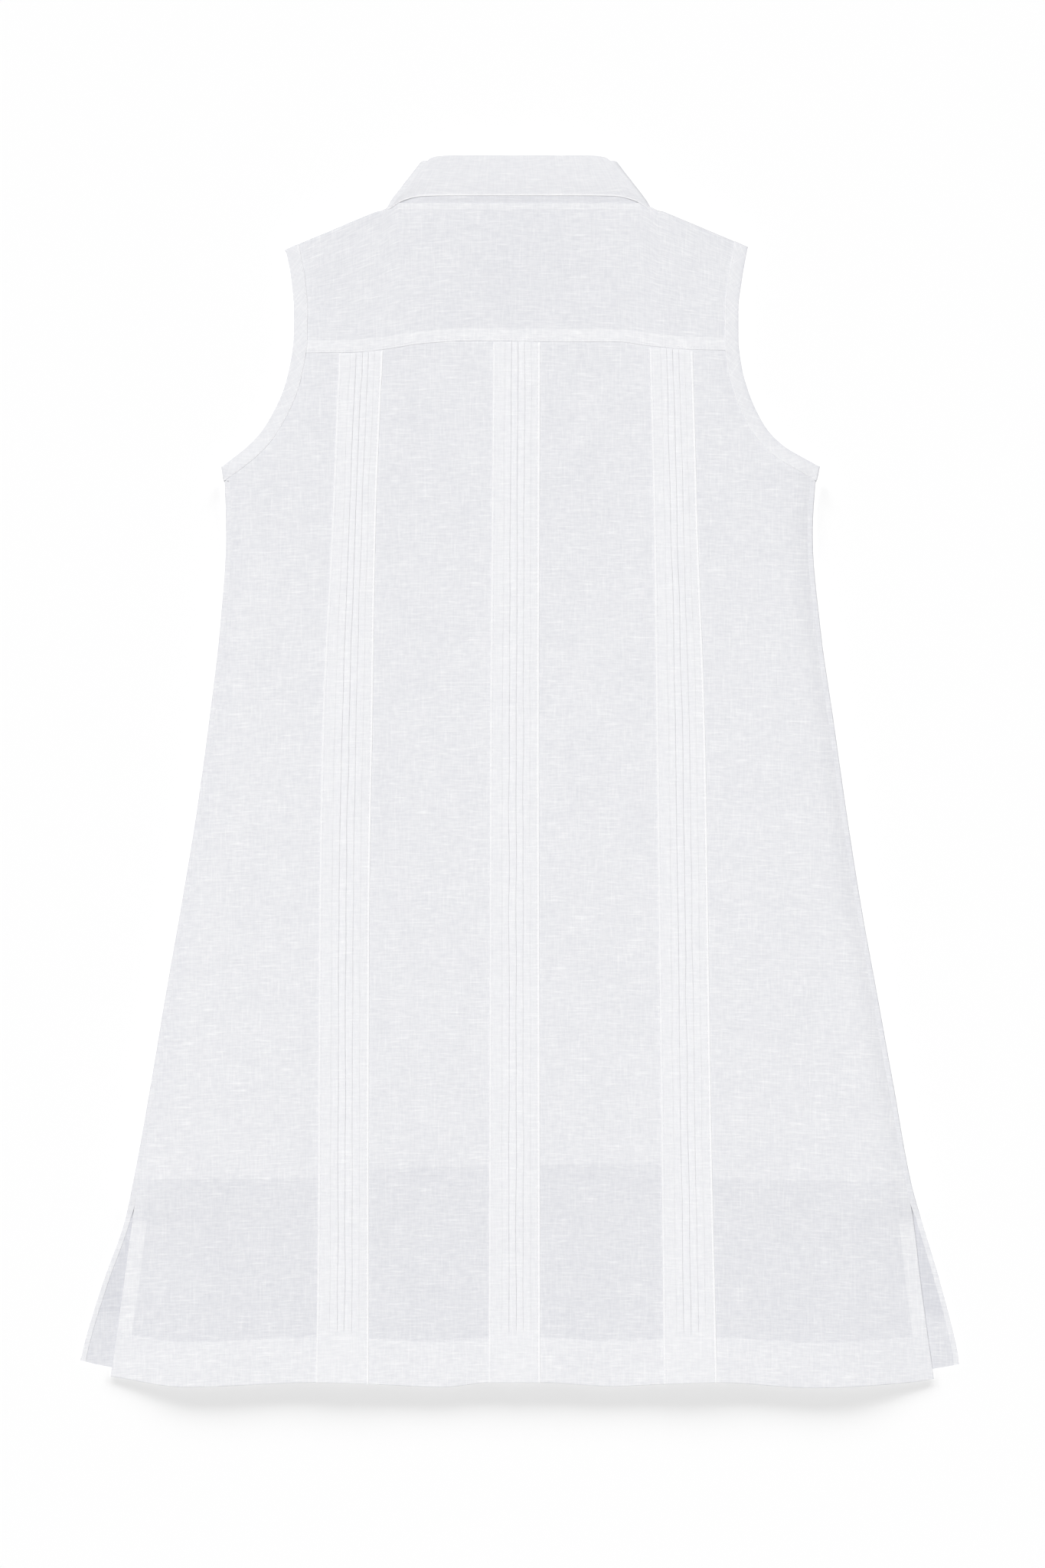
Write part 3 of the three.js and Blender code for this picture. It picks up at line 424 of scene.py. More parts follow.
def across_back(y0):
    """A row's points from edge to edge: closer together where the back falls away."""
    ends = []
    for line in BACK.values():
        y = y0
        for _ in range(8):
            x = line(y)
            y = row_y(x, y0)
        ends.append(x)
    steps = np.array([0, 0.06, 0.25, 0.7, 1.4, 2.4, 3.8, 5.4, 7.2, 9, 10.2, 11, 11.5, 12.2, 13.4,
                      15.5, 18.5, 22, 26])
    left, right = ends[0][:, None] + steps, ends[1][:, None] - steps[::-1]
    middle = left[:, -1:] + (right[:, :1] - left[:, -1:]) * np.linspace(0, 1, 134)[1:-1]
    return np.concatenate([left, middle, right], axis=1)


def back_panel():
    y0 = np.array([
        *(HEM_MIDDLE + EDGE), *spaced(-474, -447.5, 4.4), *SEWN_ROWS, -442.4,
        *spaced(-440, -317, 4.2), -315.4, -314.4, -313.6, -312.6, *spaced(-310, 226.6, 4.25),
        226.8, 227.5, 228.2, 230, 232, 234, 236, 237.5, 238.6, 239.4, 240.3, 241.5, 243, 245,
        *spaced(247.4, 318, 4.1), *spaced(318.6, 346.6, 3.5), 346.6,
    ])
    x = across_back(y0)
    y0 = y0[:, None]
    y = row_y(x, y0)
    edge = inside(x, y)
    # Under the arms the panel runs out to the corners of the bindings
    under_arm = 3.4 * soft((y - 227.2) / 0.8) * (1 - soft((y - 236) / 3)) * soft((9 - edge) / 9)
    x = x + np.where(x < 0, -under_arm, under_arm)
    raised = soft((HEM_SEWN + 0.9 - y0) / 1.5)
    at_vent = soft((FACING_TOP - y) / 8)
    facing = soft((FACING + 0.4 - edge) / 0.8) * at_vent
    doubled = np.maximum(raised, facing)
    sewn = y0 - HEM_SEWN
    top = back_top(x, y) + HEM_RAISE * raised - groove(sewn, 0.1) + puckers(x, sewn, 11, 0.05)
    top = top + at_vent * puckers(y, edge - 10.4, 12, 0.05)
    top = top - rounded(y0 - HEM_MIDDLE) - rounded(edge, 0.45) * at_vent
    top = top - groove(edge, 0.15, 0.6) * (1 - at_vent) * soft((-150 - y) / 120)
    # A little brighter down the dress, and towards its left side as painted light from the left
    light = density(235.2 + 0.7 * soft((250 - y) / 300) + 0.9 * soft((-x - 90) / 140)
                    - 0.9 * soft((y - 100) / 150))
    tone = TONES["single"] + (light - TONES["single"]) * soft((y0 - LINING_MIDDLE) / 1.2 + 0.5)
    # Painted shade: darker within about 16 mm of the sides, where the back rounds away
    tone = tone - 0.06 * soft((16 - edge) / 12) * (1 - facing) * (1 - raised)
    allowance = soft((9 - edge) / 3) * soft((-290 - y) / 30) * (1 - facing)
    tone = tone + (TONES["facing"] - tone) * np.maximum(facing, 0.5 * allowance)
    tone = tone + (TONES["hem"] - 0.05 * soft((x - 120) / 120) - tone) * raised
    thick = LINEN + 0.3 * doubled
    panel = shell("back_panel_cloth", grid(x, y, top), grid(x, y, top - thick), weave_of(x, y), tone)
    hem_row = int(np.argmin(np.abs(y0 - HEM_SEWN)))
    return panel, [grid(x, y, top)[hem_row]]


def lining_panel():
    y0 = np.array([LINING_MIDDLE - 0.01, *spaced(-305, 312, 9), 318.6])
    x = across_back(y0)[:, 2:-2:3]
    y = row_y(x, y0[:, None])
    top = back_top(x, y) - LINING_BELOW
    return shell("lining_cloth", grid(x, y, top), grid(x, y, top - LINING_THICK), weave_of(x, y, 900),
                 TONES["single"])


def tuck_band(side, seed):
    edges = np.array(BANDS[side])
    first, last = curve(edges[:, 0], edges[:, 1]), curve(edges[:, 0], edges[:, 2])
    y0 = np.array([
        *(HEM_MIDDLE + EDGE), *spaced(-474, -447.5, 5), *SEWN_ROWS, -442.2, -440.6, -438.5, -436,
        *spaced(-432, 324, 4.6), 326, 329, 331.5, 333.2, 334.4, 335.2, 335.8, 336.3,
    ])[:, None]
    places = [(0, step, 0, 0) for step in EDGE]
    for k, share in enumerate(TUCK_PLACES):
        places.extend((share, step, height, k + 1) for step, height in TUCK)
    places.extend((1, -step, 0, 0) for step in EDGE[::-1])
    share, step, height, number = np.array(places).T
    tucked = soft((y0 - HEM_SEWN - 1.5) / 7)
    run = y0[:, 0]
    wander = np.stack([np.zeros(len(y0))] + [
        ripple(run, 0, 70, 70, 0.17, seed + k) for k in range(1, len(TUCK_PLACES) + 1)], 1)
    press = np.stack([np.ones(len(y0))] + [
        clear * (1 + ripple(run, 0, 45, 45, 0.09, seed + 21 + k))
        for k, clear in enumerate(TUCK_SHARES)], 1)
    number = number.astype(int)
    low, high = first(y0), last(y0)
    x = low + (high - low) * share + step + wander[:, number] * (number > 0)
    y = row_y(x, y0)
    lift = HEM_RAISE * soft((HEM_SEWN + 0.9 - y0) / 1.5)
    under = back_top(x, y) + lift + CLEAR
    from_side = np.minimum(x - low, high - x)
    top = under + DOUBLED + height * tucked * press[:, number]
    top = top - rounded(from_side, 0.5) - groove(from_side - STITCH_IN, 0.1)
    top = top + puckers(y, from_side, seed, 0.04)
    sewn = y0 - HEM_SEWN
    top = top - rounded(y0 - HEM_MIDDLE, 0.5) - groove(sewn, 0.1) + puckers(x, sewn, seed + 9, 0.05)
    top = top - 0.45 * soft((y0 - 333.8) / 2.2)
    tone = np.full(x.shape, TONES["band"])
    tone += 0.02 * (1 - tucked)
    # Painted highlights along both folded edges, the stronger one on the right lifting the shade there
    tone += 0.17 * soft((1.9 - x + low) / 0.9) + 0.3 * soft((2.3 - high + x) / 0.9)
    surface = grid(x, y, top)
    band = shell(f"tuck_band_{side}_cloth", surface, grid(x, y, np.minimum(under, top - 0.05)),
                 weave_of(x, y, 400 + seed), tone)
    rows = y0[:, 0] < 335
    seams = [surface[rows, 6], surface[rows, -7]]
    return band, seams


def armhole(side):
    """The binding's two lines along one armhole, from under the arm to the shoulder."""
    column, sign = (1, -1) if side == "left" else (2, 1)
    high = SIDES[SIDES[:, 0] >= CORNER]
    edge = high[:, [column, 0]]
    ahead = np.vstack([edge[1:], edge[-1:]]) - np.vstack([edge[:1], edge[:-1]])
    inward = np.stack([-ahead[:, 1], ahead[:, 0]], -1) * sign
    inward /= np.linalg.norm(inward, axis=1, keepdims=True)

    def inner(width, start_in=0):
        line = edge + inward * width
        line[0] = (OUTLINE[side](UNDER_ARM) - sign * start_in, UNDER_ARM)
        return line

    return edge, inner, sign


def smooth_path(points, count):
    """More points along a line through these ones."""
    at = np.arange(len(points))
    dense = np.linspace(0, len(points) - 1, count)
    return np.stack([curve(at, points[:, k])(dense) for k in (0, 1)], -1)


def binding(side, seed):
    """One armhole's binding: along the back, round the shoulder, along the front and round below."""
    edge, inner, sign = armhole(side)
    count = 120
    outer_line, inner_line = smooth_path(edge, count), smooth_path(inner(BINDING_WIDTH), count)
    for line in (outer_line, inner_line):
        line[-1, 1] = shoulder_line(abs(line[-1, 0])) - 1.8
    steps = np.array([0, 0.08, 0.25, 0.7, 1.5, 3, 5, 7, 8.6, 9.2, 9.6, 10, 10.4, 10.78, 10.93, 11])
    share = (steps / BINDING_WIDTH)[None, :, None]
    flat = outer_line[:, None] * (1 - share) + inner_line[:, None] * share
    x, y = flat[..., 0], flat[..., 1]
    run = length_along(outer_line)[:, None]
    on_yoke = soft((y - yoke_line(x) + 3) / 2.5)
    panel = back_top(x, y)
    base = panel + (yoke_top(x, y) - panel) * on_yoke + CLEAR
    width = BINDING_WIDTH - steps
    shape = (0.12 * np.sin(np.pi * steps / BINDING_WIDTH) - rounded(steps, 0.5) - rounded(width, 0.5)
             - groove(width - 1.4, 0.08))
    top = base + DOUBLED + shape + puckers(run + 0.9 * steps, width - 1.4, seed, 0.07, 7)
    over, under = list(grid(x, y, top)), list(grid(x, y, base))
    turns = np.radians(np.arange(20, 161, 20))

    def roll(k, outward, low, down, share=1):
        height = top[k] - low
        for turn in (turns if down else turns[::-1]):
            for target, inset in ((over, 0), (under, DOUBLED)):
                radius = height / 2 - inset
                reach = share * radius * math.sin(turn)
                target.append(grid(x[k] + outward[0] * reach, y[k] + outward[1] * reach,
                                   low + height / 2 + radius * math.cos(turn)))

    outward = (sign * math.sin(SHOULDER_SLANT), math.cos(SHOULDER_SLANT))
    roll(count - 1, outward, FRONT_LIFT, True)
    level = front_level(y)
    over.extend(grid(x, y, level + rounded(steps, 0.5) + rounded(width, 0.5))[::-1])
    under.extend(grid(x, y, level + DOUBLED)[::-1])
    roll(0, (sign, 0), 0, False, 0.4)
    over, under = np.array(over), np.array(under)
    length = np.concatenate([run[:, 0], run[-1, 0] + np.arange(1, 9), run[::-1, 0] + 300,
                             600 + np.arange(8)])[:, None]
    bias = np.stack(np.broadcast_arrays(length + steps, length - steps), -1) * 0.707
    # Painted highlight along the inner folded edge. The right binding is a little lighter overall and
    # gets painted shade within 4 mm of its outer edge, where it rolls away
    tone = TONES["binding"] + 0.13 * soft((1.7 - width) / 0.9)
    if side == "right":
        tone = tone + 0.03 - 0.16 * soft((4 - steps) / 3)
    piece = shell(f"binding_{side}_cloth", over, under, bias + 1500 + seed, tone, looped=True)
    return piece, [over[2:count - 1, 11]]


def yoke():
    """The yoke from its seam on the back over the shoulders to its seam on the front."""
    edge_steps = np.array([0, 0.08, 0.3, 0.8, 1.6, 3, 5, 7.5, 10.5, 14, 18, 22.5])
    inner_x = np.concatenate([spaced(-150, -NECK_HALF, 4.6), spaced(-NECK_HALF, NECK_HALF, 4.7),
                              [NECK_HALF], spaced(NECK_HALF, 140, 4.6)[1:], [140]])
    low_steps = [*EDGE, 6, 8, 9.4, 9.9, 10.4, 11.4, 13.5, 16.5, 20]
    top_steps = [9, 6.4, 5.3, 4.7, 3.4, 2, 1, 0.4, 0.1, 0]
    shares = np.linspace(0, 1, 22)[1:-1]

    def under_collar(reach):
        """How much the shoulder stays flat, because the collar's corner lies on it."""
        return soft((COLLAR_CORNER - reach) / 5)

    def top_y(x):
        reach = np.abs(x)
        roof = yoke_top(x, 400.0)
        turned = shoulder_line(reach) - (roof - FRONT_LIFT) / 2 / math.cos(SHOULDER_SLANT)
        turned = turned + 4.0 * under_collar(reach)
        return NECK_Y + (turned - NECK_Y) * soft((reach - 89) / (NECK_HALF - 89))

    x = np.concatenate([-178 + edge_steps, inner_x, 172.5 - edge_steps[::-1]])
    xs, ys, from_seam, from_top = [], [], [], []
    kinds = {"low": low_steps, "share": shares, "top": top_steps}
    rows = [(kind, value) for kind, values in kinds.items() for value in values]
    for kind, value in rows:
        row_x = x.copy()
        for _ in range(4):
            seam, top = yoke_line(row_x), top_y(row_x)
            if kind == "low":
                y = seam + value
            elif kind == "top":
                y = top - value
            else:
                y = seam + 20 + (top - 9 - seam - 20) * value
            count = len(edge_steps)
            row_x[:count] = BACK["left"](y[:count]) + edge_steps
            row_x[-count:] = BACK["right"](y[-count:]) - edge_steps[::-1]
        xs.append(row_x)
        ys.append(y)
        from_seam.append(y - seam)
        from_top.append(top - y)
    x, y, from_seam, from_top = map(np.array, (xs, ys, from_seam, from_top))
    edge = inside(x, y)
    top = yoke_top(x, y) - rounded(from_seam, 0.5) - groove(from_seam - STITCH_IN, 0.1)
    top = top + puckers(x, from_seam - STITCH_IN, 31, 0.05) - rounded(edge, 0.4)
    at_neck = soft((NECK_HALF + 2 - np.abs(x)) / 4)
    top = top - at_neck * (rounded(from_top) + 0.25 * groove(from_top - 5, 0.3, 1.5))
    turned = soft((YOKE_LAP - from_seam) / 0.5 + 0.5)
    middle = TONES["yoke"] - 0.055 * np.exp(-((x / 60) ** 2))
    tone = middle + (TONES["turned"] - middle) * turned
    band = at_neck * soft((5 - from_top) / 0.6 + 0.5)
    tone = tone + (TONES["turned"] - tone) * 0.8 * band
    thick = LINEN + (DOUBLED - LINEN) * turned
    bottom = np.minimum(top - 0.05, yoke_top(x, y) - thick)
    over, under = [grid(x, y, top)], [grid(x, y, bottom)]
    surface = over[0]
    last = surface[-1]
    roof = yoke_top(x[-1], y[-1])
    lines = {side: armhole(side)[1](BINDING_WIDTH + 2 * GAP) for side in ("left", "right")}

    def binding_reach(x, y):
        left, right = (np.abs(np.interp(y, line[:, 1], line[:, 0])) for line in lines.values())
        return np.where(x < 0, left, right)

    def front_height(x, y):
        """The underside of the front's part, higher where the binding folds under it."""
        return FRONT_LIFT + (DOUBLED + 2 * CLEAR) * soft((np.abs(x) - binding_reach(x, y)) / 2)

    low = front_height(last[:, 0], last[:, 1])
    bulge = (1 - 0.75 * under_collar(np.abs(last[:, 0]))) / math.cos(SHOULDER_SLANT)
    for degrees in range(15, 181, 15):
        turn = math.radians(degrees)
        for target, inset in ((over, 0), (under, LINEN)):
            radius = (roof - low) / 2 - inset
            target.append(grid(last[:, 0], last[:, 1] + radius * bulge * math.sin(turn),
                               (roof + low) / 2 + radius * math.cos(turn))[None])
    reach = np.abs(last[:, 0])
    share = np.clip((reach - NECK_HALF) / (172 - NECK_HALF), 0, 1)
    arm_x = binding_reach(last[:, 0], FLAP_END[2])
    end_x = np.sign(last[:, 0]) * (FLAP_END[0] + (arm_x - FLAP_END[0]) * share)
    end_y = FLAP_END[1] + (FLAP_END[2] - FLAP_END[1]) * share
    for step in (0.1, 0.25, 0.4, 0.55, 0.7, 0.85, 1):
        flat_x = last[:, 0] + (end_x - last[:, 0]) * step
        flat_y = last[:, 1] + (end_y - last[:, 1]) * step
        level = front_height(flat_x, flat_y)
        over.append(grid(flat_x, flat_y, level)[None])
        under.append(grid(flat_x, flat_y, level + LINEN)[None])
    over, under = np.concatenate(over), np.concatenate(under)
    # Painted light: the yoke's roll over the shoulders is lighter near the neck, lifting the shade under
    # the collar's corners
    beyond = np.tile(TONES["yoke"] + 0.35 * soft((112 - reach) / 10), (len(over) - len(tone), 1))
    tone = np.vstack([tone, beyond])
    has = np.ones((over.shape[0] - 1, over.shape[1] - 1), bool)
    middle = np.abs(last[:-1, 0] + last[1:, 0]) / 2 < NECK_HALF
    has[len(surface) - 1:, middle] = False
    fall = length_along(over[:, 60])
    weave = weave_of(over[..., 0], (330 + fall)[:, None] + 0 * over[..., 0], 150)
    piece = shell("yoke_cloth", over, under, weave, tone, has=has)
    return piece, [surface[6]]


def front_panel(side):
    """One front, folded round to the side seam and, beside the vent, into a narrow hem."""
    sign = -1 if side == "left" else 1
    inner_edge = PLACKET_HALF + GAP
    line = armhole(side)[1](BINDING_WIDTH + GAP, GAP)
    low_y = np.array([*(FRONT_CORNER + np.array([0, 0.2, 0.8, 3])), *spaced(-456, -364, 5.5),
                      *spaced(-364, -324, 2.5), *spaced(-324, 226, 5.5), UNDER_ARM - 0.05])
    flat_shares = np.linspace(0, 1, 40)
    edge = np.abs(OUTLINE[side](low_y))[:, None]
    sewn = soft((low_y - VENT_SEWN) / 22)[:, None]
    flat_fold = 0.38
    radius = flat_fold + (SIDE_TOP / 2 - flat_fold) * sewn
    reach = np.minimum(radius, SIDE_REACH)
    back_edge = np.abs(BACK[side](low_y))[:, None]
    hem_width = 3.8
    returned = hem_width + (edge - reach - back_edge + 0.15 - hem_width) * sewn
    turns = np.linspace(0, math.pi, 11)[None]
    back_shares = np.array([0.1, 0.3, 0.5, 0.7, 0.9, 0.97, 1])[None]
    start = edge - reach
    roll_x = np.concatenate([start + reach * np.sin(turns), start - returned * back_shares], axis=1)
    roll_z = np.concatenate([radius * (1 - np.cos(turns)), 2 * radius + 0 * back_shares], axis=1)
    thin = LINEN - 0.1 * (1 - sewn)
    inner_x = np.concatenate([start + (reach - thin) * np.sin(turns),
                              start - returned * back_shares], axis=1)
    inner_z = np.concatenate([radius - (radius - thin) * np.cos(turns),
                              2 * radius - thin + 0 * back_shares], axis=1)
    roll_z[:, -3:] -= np.array([0.01, 0.04, 0.1])
    flat_x = inner_edge + (start - inner_edge) * flat_shares
    x = sign * np.concatenate([flat_x, roll_x], axis=1)
    drop = np.zeros_like(x)
    outermost = (x[0] / FRONT_HALF) ** 8
    drop[:4] = (FRONT_HEM - FRONT_CORNER) * (1 - outermost) - (3 if side == "right" else 0) * outermost
    y = low_y[:, None] + drop
    hem_band = soft((-425 - y) / 1.5)
    lower_z = np.concatenate([0 * flat_x, roll_z], axis=1)
    upper_x = sign * np.concatenate([flat_x, inner_x], axis=1)
    lie = np.maximum(ripple(x, y, 40, 60, 0.1, 51), -0.12) * soft((VENT_SEWN - y) / 20)
    flat_z = thin + (lie + 0.1 * hem_band)[:, :len(flat_shares)] * soft((1 - flat_shares) * 8)
    upper_z = np.concatenate([flat_z + 0 * flat_x, inner_z], axis=1)
    # The front's inside shows in the vents: a single layer, set darker still as painted shade
    inner_tone = TONES["inside"] + (TONES["hem"] - TONES["inside"]) * 0.35 * hem_band
    outer_tone = TONES["lined"] + (TONES["hem"] - TONES["lined"]) * hem_band
    # The left side's rim is a little lighter, as painted light from the left
    rim = TONES["side"] + (0.1 if side == "left" else 0)
    for tone in (inner_tone, outer_tone):
        tone[:, len(flat_shares):] = TONES["narrow_hem"] + (rim - TONES["narrow_hem"]) * sewn
    over, under = [grid(x, y, lower_z)], [grid(upper_x, y, upper_z)]

    def add_row(across, along, level):
        """A row above the underarm, where the roll at the side has shrunk to a point."""
        across, along = (np.concatenate([row, np.full(roll_x.shape[1], row[-1])])
                         for row in np.broadcast_arrays(across, along))
        over.append(grid(across, along, level)[None])
        under.append(grid(across, along, level + LINEN)[None])

    high_y = np.array([*spaced(232, 348, 6), *(FRONT_RISES + np.arange(0, 13, 3))])
    ends = np.abs(np.interp(high_y, line[:, 1], line[:, 0]))
    for value, end in zip(high_y, ends):
        last = sign * (inner_edge + (end - inner_edge) * flat_shares)
        add_row(last, value, front_level(value))
    neck = curve(COLLAR[::-1][:4, 4], COLLAR[::-1][:4, 5])
    flap = armhole(side)[1](BINDING_WIDTH + 2 * GAP)
    arm_x = abs(np.interp(FLAP_END[2], flap[:, 1], flap[:, 0]))
    knots = np.array([0, 0.2, 0.4, 0.6, 0.8, 1])
    thirds = np.array([0, 1 / 3, 2 / 3, 1])
    neck_x = (inner_edge, 44.5)
    seam_x = FLAP_END[0] + (arm_x - FLAP_END[0]) * thirds
    seam_y = FLAP_END[1] + (FLAP_END[2] - FLAP_END[1]) * thirds
    top_x = sign * np.interp(flat_shares, knots, [*neck_x, *seam_x])
    top_y = np.interp(flat_shares, knots, [*neck(neck_x), *seam_y]) - 2 * GAP
    for share in knots[1:]:
        add_row(last + (top_x - last) * share, high_y[-1] + (top_y - high_y[-1]) * share, FRONT_LIFT)
    over, under = np.concatenate(over), np.concatenate(under)
    above = np.full((len(over) - len(low_y), over.shape[1]), TONES["lined"])
    has = np.ones((len(over) - 1, over.shape[1] - 1), bool)
    has[len(low_y) - 1:, len(flat_shares) - 1:] = False
    return shell(f"front_{side}_cloth", over, under, weave_of(over[..., 0], over[..., 1], 2100),
                 np.vstack([outer_tone, above]), has=has, under_tone=np.vstack([inner_tone, above]))


def collar_stations():
    """Rows of the collar's table from one front leaf round the back to the other."""
    at = np.concatenate([spaced(0, 1, 1 / 10), spaced(1, 2, 1 / 6), spaced(2, 4, 1 / 6),
                         spaced(4, 7, 1 / 8), spaced(7, 10, 1 / 9), [10]])
    table = np.stack([curve(np.arange(len(COLLAR)), COLLAR[:, k])(at) for k in range(7)], -1)
    sign = np.concatenate([-np.ones(len(at) - 1), np.ones(len(at))])
    return np.vstack([table[:0:-1], table]), sign


def collar_piece(name, stations, sign, columns, section, tone, shift):
    """One of the collar's two pieces: section gives along and out for a width."""
    rows = {"over": [], "under": []}
    run, past, weave = 0, None, []
    for station, side in zip(stations, sign):
        fold, end = station[:2], station[columns]
        width = np.linalg.norm(end - fold)
        down = (end - fold) / width
        turn = math.radians(station[6])
        middle = (fold + end) / 2 * (side, 1)
        run += 0 if past is None else max(np.linalg.norm(middle - past), 0.3)
        past = middle
        shape = section(width, run, fold[0] if station[6] < 90 else 0)
        for key in rows:
            along, out = shape[key]
            out = out * (1 + (COLLAR_MIDDLE / FALL_OUT - 1) * (1 - math.cos(turn)) / 2)
            flat = fold + down * along[:, None]
            flat[:, 0] += COLLAR_BEND * out * math.sin(turn)
            rows[key].append(grid(side * flat[:, 0] + COLLAR_SHIFT, flat[:, 1],
                                  COLLAR_MIDDLE + out * math.cos(turn)))
        weave.append(np.stack([np.full(len(along), run + shift), -along], -1))
    over, under = np.array(rows["over"]), np.array(rows["under"])
    return shell(name, over, under, np.array(weave), tone), over


def collar():
    stations, sign = collar_stations()
    centre = FALL_OUT - COLLAR_ROLL
    turns = np.radians(np.linspace(-90, 90, 11))
    from_edge = np.array([17, 13, 9, 6.5, 4, 2.9, 2.4, 2.0, 1.6, 1.1, 0.6, 0.22, 0.06, 0])

    def fall_section(width, run, near_end):
        lengths = width - from_edge
        lengths[0] = min(lengths[0], max(COLLAR_ROLL + 1, width - 17))
        pucker = puckers(run, from_edge - STITCH_IN, 61, 0.04)
        settled = 0.75 * soft((12 - from_edge) / 10)
        pressed = rounded(from_edge, 0.5) + groove(from_edge - STITCH_IN, 0.1)
        outer_out = FALL_OUT - settled - pressed + pucker
        outer_out[0] = FALL_OUT
        under_out = FALL_OUT - settled - FALL_THICK
        under_out[0] = FALL_OUT - FALL_THICK
        roll = COLLAR_ROLL * (1 - np.cos(turns))
        inner = COLLAR_ROLL - FALL_THICK
        over = (np.concatenate([[COLLAR_LEG], roll, lengths]),
                np.concatenate([[centre - COLLAR_ROLL], centre + COLLAR_ROLL * np.sin(turns), outer_out]))
        under = (np.concatenate([[COLLAR_LEG], COLLAR_ROLL - inner * np.cos(turns), lengths]),
                 np.concatenate([[centre - inner], centre + inner * np.sin(turns), under_out]))
        return {"over": over, "under": under}

    def stand_section(width, run, near_end):
        hidden = 1.5 + 4 * soft((near_end - 50) / 40)
        along = COLLAR_LEG + GAP + (width + hidden - COLLAR_LEG - GAP) * np.linspace(0, 1, 9)
        flat = STAND_OUT - soft((along - width + 4) / 4.5)
        return {"over": (along, flat), "under": (along, flat + STAND_THICK)}

    # Painted highlight along the fall's free edge
    fall_tone = TONES["collar"] + 0.3 * soft((2.0 - np.concatenate([np.full(12, 20), from_edge])) / 0.8)
    fall, surface = collar_piece("collar_fall_cloth", stations, sign, [2, 3], fall_section,
                                 fall_tone, 2600)
    # The stand's dark level is painted shade under the fall
    stand, _ = collar_piece("collar_stand_cloth", stations, sign, [4, 5], stand_section,
                            TONES["stand"], 2900)
    return fall, stand, [surface[:, -7]]


def placket(name, level, seats):
    y = np.concatenate([FRONT_HEM + EDGE, spaced(-468, 369, 8), PLACKET_TOP - EDGE[::-1]])
    x = np.concatenate([-PLACKET_HALF + EDGE, np.linspace(-9, 9, 5), PLACKET_HALF - EDGE[::-1]])
    x, y = np.meshgrid(x, y)
    from_side = PLACKET_HALF - np.abs(x)
    end = np.minimum(y - FRONT_HEM, PLACKET_TOP - y)
    low = level + rounded(from_side, 0.4) + rounded(end, 0.4) + groove(from_side - STITCH_IN, 0.15)
    surface = grid(x, y, low)
    band = shell(name, surface, grid(x, y, level + CLOTH), weave_of(x, y, 3300), TONES["band"])
    if seats:
        cutter = tube_mesh("seats", [(0, yy) for yy in seats], BUTTON_RADIUS + GAP, -1, 3, 40)
        cut(band, cutter)
    return band


def circle(radius, height, sides, cx=0, cy=0):
    turns = [2 * math.pi * k / sides for k in range(sides)]
    return [((cx + radius * math.cos(turn)) * MM, (cy + radius * math.sin(turn)) * MM, height * MM)
            for turn in turns]


def tube_mesh(name, centres, radius, low, high, sides):
    points, faces = [], []
    for cx, cy in centres:
        start = len(points)
        for height in (low, high):
            points.extend(circle(radius, height, sides, cx, cy))
        for k in range(sides):
            after = (k + 1) % sides
            faces.append((start + k, start + after, start + sides + after, start + sides + k))
        faces.append([start + k for k in reversed(range(sides))])
        faces.append([start + sides + k for k in range(sides)])
    return placed(name, new_mesh(name, points, faces))


def cut(obj, cutter):
    """Cuts one mesh out of another for good."""
    modifier = obj.modifiers.new("cut", "BOOLEAN")
    modifier.object = cutter
    modifier.solver = "EXACT"
    bpy.context.view_layer.update()
    evaluated = obj.evaluated_get(bpy.context.evaluated_depsgraph_get())
    old = obj.data
    obj.data = bpy.data.meshes.new_from_object(evaluated)
    obj.modifiers.clear()
    bpy.data.meshes.remove(old)
    bpy.data.objects.remove(cutter)


def button_mesh():
    """A shell button with a rolled rim, a dished middle and four holes."""
    profile = [(0, 0.5), (2.9, 0.5), (3.5, 0.32), (4.0, 0.06), (4.5, 0), (5.1, 0.04), (5.5, 0.2),
               (5.7, 0.45), (5.75, 0.7), (5.6, 1.0), (5.2, 1.17), (4.5, 1.2), (0, 1.2)]
    sides = 48
    points, faces = [(0, 0, profile[0][1] * MM)], []
    for radius, height in profile[1:-1]:
        points.extend(circle(radius, height, sides))
    points.append((0, 0, profile[-1][1] * MM))
    rings = len(profile) - 2
    for k in range(sides):
        after = (k + 1) % sides
        faces.append((0, 1 + after, 1 + k))
        for ring in range(rings - 1):
            low, high = 1 + ring * sides, 1 + (ring + 1) * sides
            faces.append((low + k, low + after, high + after, high + k))
        top = 1 + (rings - 1) * sides
        faces.append((top + k, top + after, len(points) - 1))
    obj = placed("button", new_mesh("button", points, faces))
    holes = [(sx * 1.25, sy * 1.25) for sx in (-1, 1) for sy in (-1, 1)]
    cut(obj, tube_mesh("holes", holes, 0.65, -1, 3, 16))
    mesh = obj.data
    bpy.data.objects.remove(obj)
    mesh.shade_smooth()
    mesh.set_sharp_from_angle(angle=math.radians(40))
    return mesh


# Finishes

def add_node(tree, kind, settings=None, inputs=None):
    made = tree.nodes.new(kind)
    for name, value in (settings or {}).items():
        setattr(made, name, value)
    for name, value in (inputs or {}).items():
        socket = made.inputs[name]
        if isinstance(value, bpy.types.NodeSocket):
            tree.links.new(value, socket)
        else:
            socket.default_value = value
    return made


def new_material(name, roughness, specular=0.5):
    material = bpy.data.materials.new(name)
    material.use_nodes = True
    shader = material.node_tree.nodes["Principled BSDF"]
    shader.inputs["Roughness"].default_value = roughness
    shader.inputs["Specular IOR Level"].default_value = specular
    return material, material.node_tree, shader


